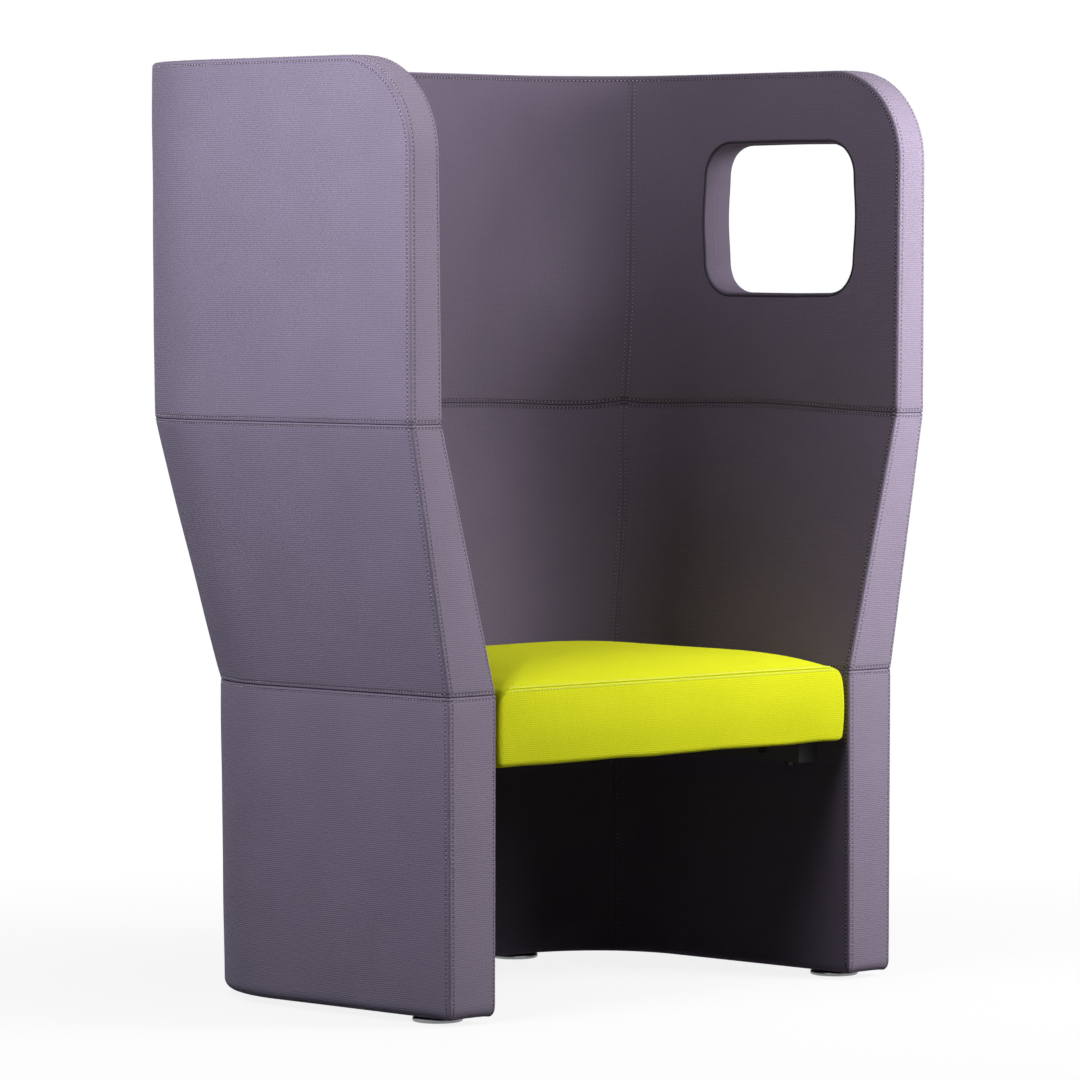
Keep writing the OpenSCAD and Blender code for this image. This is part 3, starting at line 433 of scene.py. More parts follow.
def upper_side(with_window):
    """Upper side of the wall from the bent front edge to the corner, as one flat sheet."""
    sheet = Sheet()
    rows = tier_rows(high_seam, wall_top - top_r, seam_stops, [0.0], cloth_step)
    columns = side_columns()
    low_rows = [high_seam + s for s in seam_stops]
    base_z = low_rows[-1]
    inner = round_edge(edge_stops[-1], 0.0, edge_r)[0]
    sheet.grid([[(a, z, d, 0.0, t, far, 0) for a, d, t in columns] for z in low_rows])
    strip = [c for c in columns if c[1]]
    up_rows = [z for z in rows if z >= base_z]
    sheet.grid([[(a, z, d, 0.0, t, far, 0) for a, d, t in strip] for z in up_rows])
    arc = []
    for k in range(bend_steps + 1):
        angle = k / bend_steps * math.pi / 2
        c, s = math.cos(angle), math.sin(angle)
        arc.append([(top_r - top_r * c, wall_top - top_r + top_r * s, c, -s, t, far, 0)
                    for t in edge_stops])
    sheet.grid(arc)
    top_runs = list(np.linspace(top_r, straight, top_stops_each))
    sheet.grid([[(a, wall_top, 0.0, -1.0, t, far, 0) for a in top_runs] for t in edge_stops])
    level_end = wall_top - inner
    right_rows = tier_rows(high_seam, level_end, seam_stops, [0.0], cloth_step)
    right_rows = [z for z in right_rows if z >= base_z]
    border = [(inner, base_z)] + [(a, base_z) for a, d, t in columns if not d]
    border += [(straight, z) for z in right_rows[1:]]
    border += [(a, level_end) for a in reversed(top_runs[:-1])]
    for k in range(bend_steps - 1, 0, -1):
        angle = k / bend_steps * math.pi / 2
        r = top_r - inner
        border.append((top_r - r * math.cos(angle), wall_top - top_r + r * math.sin(angle)))
    border += [(inner, z) for z in reversed(up_rows[1:])]
    flat = [Vector(p) for p in border]
    edges = [(k, (k + 1) % len(border)) for k in range(len(border))]
    ring_reach = 0.0
    if with_window:
        table = [[(x, z, dx, dz, edge_distance(outline_setback(x, z)), t, 1)
                  for x, z, dx, dz in window_path + window_path[:1]] for t in window_ring]
        sheet.grid(table)
        ring_reach = round_edge(window_ring[-1], 0.0, window_edge_r)[0]
        first = len(flat)
        flat += [Vector((x + dx * ring_reach, z + dz * ring_reach))
                 for x, z, dx, dz in window_path]
        count = len(window_path)
        edges += [(first + k, first + (k + 1) % count) for k in range(count)]
    border_flat = np.array([tuple(p) for p in flat])
    for z in np.arange(base_z + cloth_step, level_end, cloth_step):
        for a in np.arange(inner + cloth_step, straight, cloth_step):
            if outline_setback(a, z) < inner + 6:
                continue
            if with_window and in_window(a, z, ring_reach):
                continue
            if np.min(np.hypot(border_flat[:, 0] - a, border_flat[:, 1] - z)) < cloth_step / 2:
                continue
            flat.append(Vector((a, z)))
    places, _, triangles, _, _, _ = geometry.delaunay_2d_cdt(flat, edges, [], 0, 1e-5)
    for triangle in triangles:
        corners = [places[k] for k in triangle]
        a = sum(p[0] for p in corners) / 3
        z = sum(p[1] for p in corners) / 3
        if z < base_z or outline_setback(a, z) < inner - 0.02 or a > straight:
            continue
        if a < top_r and z > wall_top - top_r and outline_setback(a, z) < inner + 0.3:
            if all(outline_setback(p[0], p[1]) < inner + 0.05 for p in corners):
                continue
        if with_window and in_window(a, z, ring_reach):
            if all(in_window(p[0], p[1], ring_reach + 0.1) for p in corners):
                continue
        ids = []
        for p in corners:
            away = edge_distance(outline_setback(p[0], p[1]))
            ids.append(sheet.point((p[0], p[1], 0.0, 0.0, away, window_distance(p[0], p[1])
                                    if with_window else far, 0)))
        if len(set(ids)) == 3:
            sheet.faces.append(ids)
    return sheet


window_array = np.array(window_path)


def window_distance(a, z):
    """Distance outside the window's outline, less than zero within it."""
    gap = np.hypot(window_array[:, 0] - a, window_array[:, 1] - z)
    k = int(np.argmin(gap))
    dx, dz = window_array[k, 2:]
    return float((a - window_array[k, 0]) * dx + (z - window_array[k, 1]) * dz)


def in_window(a, z, reach):
    return window_distance(a, z) < reach


def joined(sheet, columns, rows_t):
    """Adds plain columns with the heights and top edge rows of an upper panel."""
    table = []
    for z in rows_t[0]:
        away = edge_distance(wall_top - z)
        table.append([(a, z, 0.0, 0.0, away, far, 0) for a, _, _ in columns])
    for t in rows_t[1]:
        table.append([(a, wall_top, 0.0, -1.0, t, far, 0) for a, _, _ in columns])
    sheet.grid(table)


def upper_rows():
    level_end = wall_top - round_edge(edge_stops[-1], 0.0, edge_r)[0]
    low = tier_rows(high_seam, level_end, seam_stops, [0.0], cloth_step)
    return low, list(reversed(edge_stops))


def other_hand(sheet):
    """The same sheet on the other side of the wall."""
    flipped = Sheet()
    flipped.points = [(2 * half_run - p[0], p[1], -p[2]) + tuple(p[3:]) for p in sheet.points]
    flipped.faces = [list(reversed(f)) for f in sheet.faces]
    flipped.index = {Sheet.key(p): k for k, p in enumerate(flipped.points)}
    return flipped


# A cloth's last colour is painted shade, laid on where the seam mask marks seams and stitch rows.
def cloth_finish(name, colour, dark, sheen, seam_shade_colour):
    finish, nodes, links = new_finish(name)
    shader = nodes["Principled BSDF"]
    fill(shader, {"Roughness": 0.92, "Specular IOR Level": 0.2, "Sheen Weight": sheen,
                  "Sheen Roughness": 0.45, "Sheen Tint": colour})
    laid = add(nodes, "ShaderNodeUVMap", {}, uv_map="cloth")
    weave = add(nodes, "ShaderNodeGroup", {"Colour": colour, "Dark": dark,
                                           "Seam Shade Colour": seam_shade_colour}, node_tree=weave_group)
    seam = add(nodes, "ShaderNodeAttribute", {}, attribute_name="seam")
    links.new(laid.outputs["UV"], weave.inputs["Vector"])
    links.new(seam.outputs["Fac"], weave.inputs["Seam"])
    links.new(weave.outputs["Colour"], shader.inputs["Base Color"])
    raise_bump(finish, weave.outputs["Height"], 0.7, 0.0004)
    return finish


def woven_cloth():
    """Plain weave with a heavier weft, flecked yarn, slow changes of tone and painted seam shade.
    """
    group, given, result = new_group(
        "woven_cloth",
        [("Vector", "NodeSocketVector", None),
         ("Colour", "NodeSocketColor", (0.4, 0.4, 0.4, 1.0)),
         ("Dark", "NodeSocketColor", (0.3, 0.3, 0.3, 1.0)),
         ("Seam Shade Colour", "NodeSocketColor", (0.1, 0.1, 0.1, 1.0)),
         ("Seam", "NodeSocketFloat", 0.0)],
        [("Colour", "NodeSocketColor"), ("Height", "NodeSocketFloat")])
    nodes = group.nodes
    links = group.links

    def maths(operation, first, second=None):
        made = add(nodes, "ShaderNodeMath", {}, operation=operation)
        for k, value in enumerate((first, second)):
            if value is None:
                continue
            if isinstance(value, float):
                made.inputs[k].default_value = value
            else:
                links.new(value, made.inputs[k])
        return made.outputs[0]

    parts = nodes.new("ShaderNodeSeparateXYZ")
    links.new(given.outputs["Vector"], parts.inputs[0])
    wander = add(nodes, "ShaderNodeTexNoise", {"Scale": 160.0, "Detail": 1.0})
    links.new(given.outputs["Vector"], wander.inputs["Vector"])
    drift = maths("MULTIPLY", maths("SUBTRACT", wander.outputs["Fac"], 0.5), 0.0009)
    across = maths("SINE", maths("MULTIPLY", maths("ADD", parts.outputs[0], drift), 4488.0))
    upward = maths("SINE", maths("MULTIPLY", maths("ADD", parts.outputs[1], drift), 2244.0))
    fine = maths("SINE", maths("MULTIPLY", parts.outputs[1], 4488.0))
    over = maths("MULTIPLY", across, fine)
    height = maths("ADD", maths("MULTIPLY", over, 0.3), maths("MULTIPLY", upward, 0.35))
    height = maths("ADD", height, 0.5)
    stretch = add(nodes, "ShaderNodeVectorMath", {1: (260.0, 900.0, 1.0)}, operation="MULTIPLY")
    links.new(given.outputs["Vector"], stretch.inputs[0])
    fleck = add(nodes, "ShaderNodeTexNoise", {"Scale": 1.0, "Detail": 2.0})
    links.new(stretch.outputs[0], fleck.inputs["Vector"])
    slow = add(nodes, "ShaderNodeTexNoise", {"Scale": 9.0, "Detail": 3.0})
    links.new(given.outputs["Vector"], slow.inputs["Vector"])
    tone = maths("ADD", maths("MULTIPLY", height, 0.55),
                 maths("MULTIPLY", fleck.outputs["Fac"], 1.5))
    tone = maths("ADD", tone, maths("MULTIPLY", slow.outputs["Fac"], 0.35))
    tone = maths("SUBTRACT", tone, 0.72)
    tint = add(nodes, "ShaderNodeMix", {}, data_type="RGBA")
    links.new(tone, tint.inputs["Factor"])
    links.new(given.outputs["Dark"], tint.inputs["A"])
    links.new(given.outputs["Colour"], tint.inputs["B"])
    # Painted shade: the seam mask mixes the seam shade colour in along seams, stitch rows and the
    # window's edge.
    sewn = add(nodes, "ShaderNodeMix", {}, data_type="RGBA")
    links.new(given.outputs["Seam"], sewn.inputs["Factor"])
    links.new(tint.outputs["Result"], sewn.inputs["A"])
    links.new(given.outputs["Seam Shade Colour"], sewn.inputs["B"])
    links.new(sewn.outputs["Result"], result.inputs["Colour"])
    links.new(maths("ADD", height, maths("MULTIPLY", fleck.outputs["Fac"], 0.4)),
              result.inputs["Height"])
    return group


weave_group = woven_cloth()
outer_colour = (0.33, 0.283, 0.41, 1.0)
outer_dark = (0.187, 0.158, 0.235, 1.0)
outer_cloth = cloth_finish("outer_cloth", outer_colour, outer_dark, 0.25,
                           (0.11, 0.09, 0.13, 1.0))


def placed(name, data):
    """New object in the scene for a mesh, a lamp or a camera."""
    piece = bpy.data.objects.new(name, data)
    bpy.context.scene.collection.objects.link(piece)
    return piece


def sewn_piece(name, front, back, faces, uv, seam, finish):
    """Closed piece from a face, its underside and the turned edge that joins them."""
    count = len(front)
    mesh = bmesh.new()
    uvs = mesh.loops.layers.uv.new("cloth")
    # The seam layer holds each point's painted shade along seams and rows of stitches.
    shade = mesh.verts.layers.float.new("seam")
    top = [mesh.verts.new(p / mm) for p in front]
    under = [mesh.verts.new(p / mm) for p in back]
    mesh.verts.index_update()
    for k in range(count):
        top[k][shade] = float(seam[k])
        under[k][shade] = 0.0
    used = {}
    for face in faces:
        mesh.faces.new([top[k] for k in face])
        mesh.faces.new([under[k] for k in reversed(face)])
        for k, first in enumerate(face):
            second = face[(k + 1) % len(face)]
            used[(first, second)] = 1
    rims = [(a, b) for a, b in used if (b, a) not in used]
    for a, b in rims:
        mesh.faces.new([top[b], top[a], under[a], under[b]])
    mesh.faces.ensure_lookup_table()
    mesh.faces.index_update()
    for face in mesh.faces:
        face.smooth = True
        for loop in face.loops:
            loop[uvs].uv = uv[loop.vert.index % count]
    rim_pairs = set(rims)
    for edge in mesh.edges:
        a, b = (v.index for v in edge.verts)
        if (a < count) == (b < count):
            a, b = a % count, b % count
            if (a, b) in rim_pairs or (b, a) in rim_pairs:
                edge.smooth = False
    loose = [v for v in mesh.verts if not v.link_faces]
    bmesh.ops.delete(mesh, geom=loose, context="VERTS")
    bmesh.ops.recalc_face_normals(mesh, faces=mesh.faces)
    data = bpy.data.meshes.new(name)
    mesh.to_mesh(data)
    mesh.free()
    data.materials.append(finish)
    return placed(name, data)


rise_from = [-520.0, -380.0, -290.0, -150.0, -90.0, -55.0, 0.0, 30.0, 70.0, 110.0, 270.0, 310.0,
             450.0, 550.0]
rise_by = [11.5, 10.5, 9.0, 4.5, 4.0, 5.5, 11.0, 7.5, 7.0, 8.0, 10.5, 10.5, 4.5, 1.0]
drift_at = [450.0, 545.0, 640.0, 700.0, 740.0, 800.0, 835.0, 880.0, 985.0, 1060.0, 1320.0]
drift_by = [9.0, 6.5, 3.5, 3.0, 5.0, 7.0, 4.5, 2.0, -3.0, -4.0, -5.0]


pad_crown = 1.0
pad_fade = 28.0
ripple_fade = 30.0
pucker_rate = 9.0
pucker_at = 6.0
pucker_spread = 90.0
corner_seam_share = 0.45
corner_shade = 0.4
window_shade_w = 1.5
pad_gap = 0.3
under_start = 14.45
under_end = 60.0
ring_under_start = 3.2
ring_flat_start = 1.46
ring_end = 19.07


def inner_pull(run, z):
    """Where the sewing pulls a place of the inner cloth: up at the high seam, round at corners."""
    folded = np.minimum(run, 2 * half_run - run)
    ahead = inner_seam - folded
    fade = np.where(z > high_seam, 68.0, 105.0)
    rise = np.interp(ahead, rise_from, rise_by) * np.exp(-((z - high_seam) / fade) ** 2)
    drift = np.interp(z, drift_at, drift_by) * np.exp(-(ahead / 120.0) ** 2)
    drift = drift * corner_r / (corner_r - wall_thickness(z))
    return run + np.where(run < half_run, drift, -drift), z + rise


inner_seam = straight + corner_r * math.radians(31.0)


def pad(name, sheet, tier, inside, seams, finish):
    """Foam and cloth over one side of the wall, from a flat sheet of points."""
    p = np.array([q[:6] for q in sheet.points], float)
    ring = np.array([q[6] for q in sheet.points], float) > 0
    start_a, start_z, way_a, way_z, t, tw = p.T
    z0, z1 = tier
    low = start_z - z0 if z0 > 100 else 0 * start_z + far
    high = z1 - start_z if z1 < 1300 else 0 * start_z + far
    side = 0 * start_z + far
    for run in seams:
        mid_t = wall_thickness(start_z) if inside else 0 * start_z
        reach = (start_a - run) * (corner_r - mid_t) / corner_r
        side = np.minimum(side, np.abs(reach))
    nearest = np.minimum(np.minimum(np.minimum(low, high), np.minimum(t, tw)), side)
    sewn = np.maximum(seam_dip(low), seam_dip(high))
    sewn = np.maximum(np.maximum(sewn, edge_dip(t)), window_dip(tw))
    sewn = np.maximum(sewn, corner_seam_share * seam_dip(side))
    fullness = 1 - np.exp(-nearest / pad_fade)
    lift = sewn - pad_crown * fullness
    lift = lift + ripple(start_a, start_z, 0.22) * (1 - np.exp(-nearest / ripple_fade))
    pucker = ripple(start_a * pucker_rate + start_z * 4.0, start_z * pucker_rate, 0.16)
    lift = lift + pucker * np.exp(-(nearest - pucker_at) ** 2 / pucker_spread)
    lift = lift + foot_roll(start_z, t)
    setback, depth = round_edge(t, lift, edge_r)
    ring_back, ring_depth = round_edge(tw, lift, window_edge_r)
    setback = np.where(ring, ring_back, setback)
    depth = np.where(ring, ring_depth, np.where(way_a ** 2 + way_z ** 2 > 0, depth, lift))
    run = start_a + way_a * setback
    z = start_z + way_z * setback
    if inside:
        depth = wall_thickness(z) - depth
        run, z = inner_pull(run, z)
    front = on_wall(run, z, depth)
    flat_back, _ = round_edge(t, 0.0, edge_r)
    first = round_edge(0.0, 0.0, edge_r)[0]
    slope = (under_end - under_start) / (under_end - first)
    back_setback = np.where(flat_back < under_end - 2.0,
                            under_start + (flat_back - first) * slope, flat_back)
    ring_flat = round_edge(tw, 0.0, window_edge_r)[0]
    slope = (ring_end - ring_under_start) / (ring_end - ring_flat_start)
    ring_setback = ring_under_start + (ring_flat - ring_flat_start) * slope
    back_setback = np.where(ring, ring_setback, back_setback)
    back_run = start_a + way_a * back_setback
    back_z = start_z + way_z * back_setback
    back_depth = padding_depth(back_z) - pad_gap
    if inside:
        back_depth = wall_thickness(back_z) - back_depth
    back = on_wall(back_run, back_z, back_depth)
    # Painted shade along the seams, their rows of stitches, the upright corner seams and the
    # window's edge.
    shade = np.maximum(row_shade(low, stitch_row, 1.0), row_shade(high, stitch_row, 1.0))
    shade = np.maximum(shade, row_shade(t, edge_row, 0.3))
    shade = np.maximum(shade, corner_shade * row_shade(side, stitch_row, 1.0))
    shade = np.maximum(shade, np.clip(1 - tw / window_shade_w, 0, 1))
    uv = np.stack([run, z], -1) / mm
    piece = sewn_piece(name, front, back, sheet.faces, uv, shade, finish)
    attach(piece, "root")
    return piece


side_cols = side_columns()
whole_turn = corner_columns(straight, half_run * 2 - straight, (False, False))
round_cols = side_cols[:-1] + whole_turn + mirrored(side_cols)[1:]
lower_rows = tier_rows(wall_foot, low_seam, foot_stops, seam_stops, cloth_step)
middle_rows = tier_rows(low_seam, high_seam, seam_stops, seam_stops, cloth_step)

tier_heights = {"lower": (wall_foot, low_seam), "middle": (low_seam, high_seam),
                "upper": (high_seam, wall_top)}
left_upper = upper_side(False)
right_upper = other_hand(upper_side(True))
whole_upper = Sheet()
for half in (left_upper, right_upper):
    moved = [whole_upper.point(p) for p in half.points]
    whole_upper.faces += [[moved[k] for k in face] for face in half.faces]
joined(whole_upper, whole_turn, upper_rows())
for tier, sheet in (("lower", plain_tier(round_cols, lower_rows)),
                    ("middle", plain_tier(round_cols, middle_rows)), ("upper", whole_upper)):
    outer = pad(f"outer_pad_{tier}", sheet, tier_heights[tier], False, [], outer_cloth)
    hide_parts(f"outer_cover_{tier}", f"outer_foam_{tier}")

# Inner padding: the same foam and cloth on the sitter's side, in three tiers of three panels.
# The side panels meet the back panel at an upright seam that lies in each rear corner.
# The inner cloth is the outer cloth painted about half as bright, as painted shade inside the
# wall.
inner_shaded_colour = (0.178, 0.145, 0.207, 1.0)
inner_shaded_dark = (0.110, 0.088, 0.130, 1.0)
inner_cloth = cloth_finish("inner_cloth", inner_shaded_colour, inner_shaded_dark, 0.2,
                           (0.045, 0.037, 0.052, 1.0))
side_turn = corner_columns(straight, inner_seam, (False, True))
back_turn = corner_columns(inner_seam, 2 * half_run - inner_seam, (True, True))
left_cols = side_cols[:-1] + side_turn
right_seam = 2 * half_run - inner_seam
left_sheet = upper_side(False)
joined(left_sheet, side_turn, upper_rows())
right_sheet = upper_side(True)
joined(right_sheet, side_turn, upper_rows())
back_sheet = Sheet()
joined(back_sheet, back_turn, upper_rows())
panel_seams = {"left": [inner_seam], "right": [right_seam], "back": [inner_seam, right_seam]}
inner_sheets = {tier: [plain_tier(columns, rows)
                       for columns in (left_cols, mirrored(left_cols), back_turn)]
                for tier, rows in (("lower", lower_rows), ("middle", middle_rows))}
inner_sheets["upper"] = [left_sheet, other_hand(right_sheet), back_sheet]
for tier, sheets in inner_sheets.items():
    for (side, seams), sheet in zip(panel_seams.items(), sheets):
        inner = pad(f"{side}_inner_pad_{tier}", sheet, tier_heights[tier], True, seams,
                    inner_cloth)
        covered = [f"{side}_inner_cover_{tier}"]
        if side == "back":
            covered.append(f"inner_foam_{tier}")
        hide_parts(*covered)

# Edge bands: one strip of cloth over foam that runs up both fronts and round the top.
# It is sewn to the outer and inner cloth along the middle of each soft edge.
band_colour = (0.345, 0.29, 0.39, 1.0)
band_dark = (0.215, 0.177, 0.245, 1.0)
band_cloth = cloth_finish("band_cloth", band_colour, band_dark, 0.25, (0.12, 0.10, 0.14, 1.0))
band_arc = [t for t in edge_stops if t <= edge_arc]
band_back = 14.2
band_crown = 1.3
band_fade = 22.0
band_wall = 0.4


def band(name, stops, seams, finish):
    """Closed strip swept along stops of start, way in, and path length."""
    flat = [t - edge_arc for t in edge_stops if edge_arc <= t < band_back + 0.8]
    across = [(t, 0.0, 0, 0.0) for t in band_arc[:-1]]
    across += [(edge_arc, 0.0, 1, t) for t in flat]
    across += [(edge_arc, share, 1, 0.0) for share in (0.3, 0.43, 0.57, 0.7)]
    across += [(edge_arc, 1.0, 1, -t) for t in reversed(flat)]
    across += [(t, 1.0, 2, 0.0) for t in reversed(band_arc[:-1])]
    stops = np.array(stops, float)
    cols = np.array(across, float)
    start_a = stops[:, 0][:, None]
    start_z = stops[:, 1][:, None]
    way_a = stops[:, 2][:, None]
    way_z = stops[:, 3][:, None]
    path = stops[:, 4][:, None]
    t = cols[:, 0][None, :]
    kind = cols[:, 2][None, :]
    wide = wall_thickness(start_z) - 2 * edge_r
    share = cols[:, 1][None, :] + cols[:, 3][None, :] / wide
    away = np.where(kind == 1, edge_arc + wide * np.minimum(share, 1 - share), t)
    sewn = edge_dip(away)
    # Painted shade along the band's rows of stitches and at the seams it crosses.
    shade = row_shade(away, edge_row, 0.45)
    nearest = away + 0 * path
    for seam in seams:
        gap = np.where(way_a != 0, np.abs(start_z - seam), far) + 0 * away
        sewn = np.maximum(sewn, seam_dip(gap))
        shade = np.maximum(shade, row_shade(gap, stitch_row, 1.0))
        nearest = np.minimum(nearest, gap)
    lift = sewn - band_crown * (1 - np.exp(-nearest / band_fade)) + foot_roll(start_z, away)
    lift = lift + ripple(path, away * 2.0, 0.2) * (1 - np.exp(-nearest / 20.0))
    pucker = ripple(path * pucker_rate, away * 3.0, 0.14)
    lift = lift + pucker * np.exp(-(nearest - pucker_at) ** 2 / 60.0)
    inward, setback = round_edge(t + 0 * path, lift, edge_r)
    inward = np.where(kind == 1, edge_r + share * wide, inward)
    setback = np.where(kind == 1, lift, setback)
    run = start_a + way_a * setback
    z = start_z + way_z * setback
    thick = wall_thickness(z)
    spread = np.where(kind == 1, inward + share * (thick - wall_thickness(start_z)), inward)
    depth = np.where(kind == 2, thick - inward, spread)
    front = on_wall(run, z, depth).reshape(-1, 3)
    rear = np.maximum(band_back, setback + band_wall)
    low_share = np.arange(len(cols)) / (len(cols) - 1)
    back_z = start_z + way_z * rear
    back_thick = wall_thickness(back_z)
    back_depth = band_back + low_share[None, :] * (back_thick - 2 * band_back)
    back = on_wall(start_a + way_a * rear, back_z, back_depth).reshape(-1, 3)
    rows, wide_count = lift.shape
    faces = [[r * wide_count + c, r * wide_count + c + 1, (r + 1) * wide_count + c + 1,
              (r + 1) * wide_count + c] for r in range(rows - 1) for c in range(wide_count - 1)]
    width = np.where(kind == 0, t, np.where(kind == 1, edge_arc + share * wide,
                                            2 * edge_arc + wide - t))
    uv = np.stack([width + 0 * path, path + 0 * width], -1).reshape(-1, 2) / mm
    piece = sewn_piece(name, front, back, faces, uv, shade.reshape(-1), finish)
    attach(piece, "root")
    return piece


for side, at, way in (("left", 0.0, 1.0), ("right", 2 * half_run, -1.0)):
    low_band = band(f"{side}_band_lower", [(at, z, way, 0.0, z) for z in lower_rows],
                    [low_seam], band_cloth)
    mid_band = band(f"{side}_band_middle", [(at, z, way, 0.0, z) for z in middle_rows],
                    [low_seam, high_seam], band_cloth)
    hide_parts(f"{side}_edge_band_lower")
    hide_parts(f"{side}_edge_band_middle")


def top_path():
    """Stops up the left front, round the bend, along the top and down to the right."""
    rise = tier_rows(high_seam, wall_top - top_r, seam_stops, [0.0], 12.0)
    stops = [(0.0, z, 1.0, 0.0, z) for z in rise]
    for k in range(1, bend_steps + 1):
        angle = k / bend_steps * math.pi / 2
        c, s = math.cos(angle), math.sin(angle)
        stops.append((top_r - top_r * c, wall_top - top_r + top_r * s, c, -s,
                      wall_top - top_r + top_r * angle))
    bend = wall_top - top_r + top_r * math.pi / 2
    for a in np.linspace(top_r, straight, top_stops_each)[1:]:
        stops.append((a, wall_top, 0.0, -1.0, bend + a - top_r))
    for a in run_stops(straight, half_run, (False, False), 11.0)[1:]:
        stops.append((a, wall_top, 0.0, -1.0, bend + a - top_r))
    total = bend + half_run - top_r
    return stops + [(2 * half_run - a, z, -da, dz, 2 * total - s)
                    for a, z, da, dz, s in reversed(stops[:-1])]


top_stops = top_path()
top_band = band("top_band", top_stops, [high_seam], band_cloth)
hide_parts("top_edge_band", "edge_foam")

# Window: the opening in the right side is lined with a sleeve of cloth glued to a ply frame.
# A cord is sewn between the sleeve and the padding on both faces; its near-black is partly painted
# shade.
# The lining is the wall's cloth painted dark, close to the inner cloth, as painted shade in the
# opening.
lining_cloth = cloth_finish("lining_cloth", (0.165, 0.134, 0.188, 1.0), (0.105, 0.085, 0.122, 1.0),
                            0.2, (0.05, 0.045, 0.06, 1.0))


def window_point(place, setback, depth, inside):
    x, z, dx, dz = place
    height = z + dz * setback
    deep = wall_thickness(height) - depth if inside else depth
    return on_wall(2 * half_run - (x + dx * setback), height, deep)


sleeve_swell = 3.0
sleeve_thick = 2.4


def window_sleeve():
    """Sleeve through the wall, from the seam on one face to the seam on the other."""
    front = []
    back = []
    uv = []
    stations = [(t, 0.0, False) for t in (0.0, 0.5, 1.1, 2.0, 3.0)]
    stations += [(3.93, s, False) for s in (0.0, 0.12, 0.3, 0.5)]
    stations += [(3.93, s, True) for s in (0.3, 0.12, 0.0)]
    stations += [(t, 0.0, True) for t in (3.0, 2.0, 1.1, 0.5, 0.0)]
    length = 0.0
    for k, place in enumerate(window_path):
        before = window_path[k - 1]
        length += math.hypot(place[0] - before[0], place[1] - before[1])
        thick = float(wall_thickness(place[1]))
        for t, share, inside in stations:
            lift = float(window_dip(t))
            deep, setback = round_edge(t, lift, window_edge_r)
            deep = deep + share * (thick - 2 * window_edge_r)
            swell = sleeve_swell * float(np.interp(t, [0, 1.1, 3.93], [0.0, 0.5, 1.0]))
            full = (place[0], place[1] - place[3] * swell, place[2], place[3])
            front.append(window_point(full, setback, deep, inside))
            rim = max(deep, sleeve_thick)
            back.append(window_point(place, setback * 0.4 + sleeve_thick, rim, inside))
            width = t + share * thick if not inside else thick - t - share * thick
            uv.append((length / mm, width / mm))
    across = len(stations)
    count = len(window_path)
    faces = [[k * across + c, k * across + c + 1, (k + 1) % count * across + c + 1,
              (k + 1) % count * across + c] for k in range(count) for c in range(across - 1)]
    # Painted shade at the sleeve's seamed edges on both faces.
    shade = [max(0.0, 1 - s[0] / window_shade_w) for s in stations] * count
    return sewn_piece("window_sleeve", np.array(front), np.array(back), faces, uv, shade,
                      lining_cloth)


sleeve = window_sleeve()
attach(sleeve, "root")
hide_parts("window_lining")


def mottle(finish, first, second, scale, detail=2.0):
    """Colour that wanders between two shades, and the noise that moves it."""
    nodes, links = finish.node_tree.nodes, finish.node_tree.links
    where = nodes.new("ShaderNodeTexCoord")
    noise = add(nodes, "ShaderNodeTexNoise", {"Scale": scale, "Detail": detail})
    tint = add(nodes, "ShaderNodeMix", {"A": first, "B": second}, data_type="RGBA")
    links.new(where.outputs["Object"], noise.inputs["Vector"])
    links.new(noise.outputs["Fac"], tint.inputs["Factor"])
    links.new(tint.outputs["Result"], nodes["Principled BSDF"].inputs["Base Color"])
    return noise.outputs["Fac"]


def cord_finish():
    finish, nodes, _ = new_finish("window_cord")
    fill(nodes["Principled BSDF"], {"Roughness": 0.85, "Specular IOR Level": 0.2})
    # Near-black cord colour, partly painted shade of the seam groove round the window.
    fuzz = mottle(finish, (0.018, 0.015, 0.022, 1.0), (0.05, 0.043, 0.06, 1.0), 900.0)
    raise_bump(finish, fuzz, 0.4, 0.0003)
    return finish


cord_shade_cloth = cord_finish()
cord_depth = 0.9


def face_outward(data):
    """Turns a closed mesh's faces outward and shades them smooth."""
    mesh = bmesh.new()
    mesh.from_mesh(data)
    bmesh.ops.recalc_face_normals(mesh, faces=mesh.faces)
    mesh.to_mesh(data)
    mesh.free()
    data.shade_smooth()


def window_cord(name, inside, setback, swell):
    """Round cord of cloth that follows the window's seam, closed on itself."""
    ways = [(setback, cord_depth), (setback, cord_depth - 1.0), (setback + 1.0, cord_depth)]
    centre, proud, wide = [np.array([window_point(place, across, depth, inside)
                                     for place in window_path]) for across, depth in ways]
    proud = proud - centre
    wide = wide - centre
    verts = []
    faces = []
    sides = 8
    count = len(centre)
    for k in range(count):
        j = (k + 1) % count
        for n in range(sides):
            m = (n + 1) % sides
            angle = 2 * math.pi * n / sides
            verts.append((centre[k] + swell * (proud[k] * math.cos(angle)
                                               + wide[k] * math.sin(angle))) / mm)
            faces.append([k * sides + n, k * sides + m, j * sides + m, j * sides + n])
    data = bpy.data.meshes.new(name)
    data.from_pydata([tuple(v) for v in verts], [], faces)
    face_outward(data)
    data.materials.append(cord_shade_cloth)
    piece = placed(name, data)
    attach(piece, "root")


window_cord("window_cord_outer", False, 2.9, 1.1)
window_cord("window_cord_inner", True, 1.5, 1.75)

# Dust sheet: thin dark non-woven cloth stapled under the wall, turned in at its edges.
# It has a round cut for each levelling glide.
dust_cloth = cloth_finish("dust_cloth", (0.035, 0.033, 0.036, 1.0), (0.02, 0.019, 0.021, 1.0),
                          0.05, (0.01, 0.01, 0.01, 1.0))


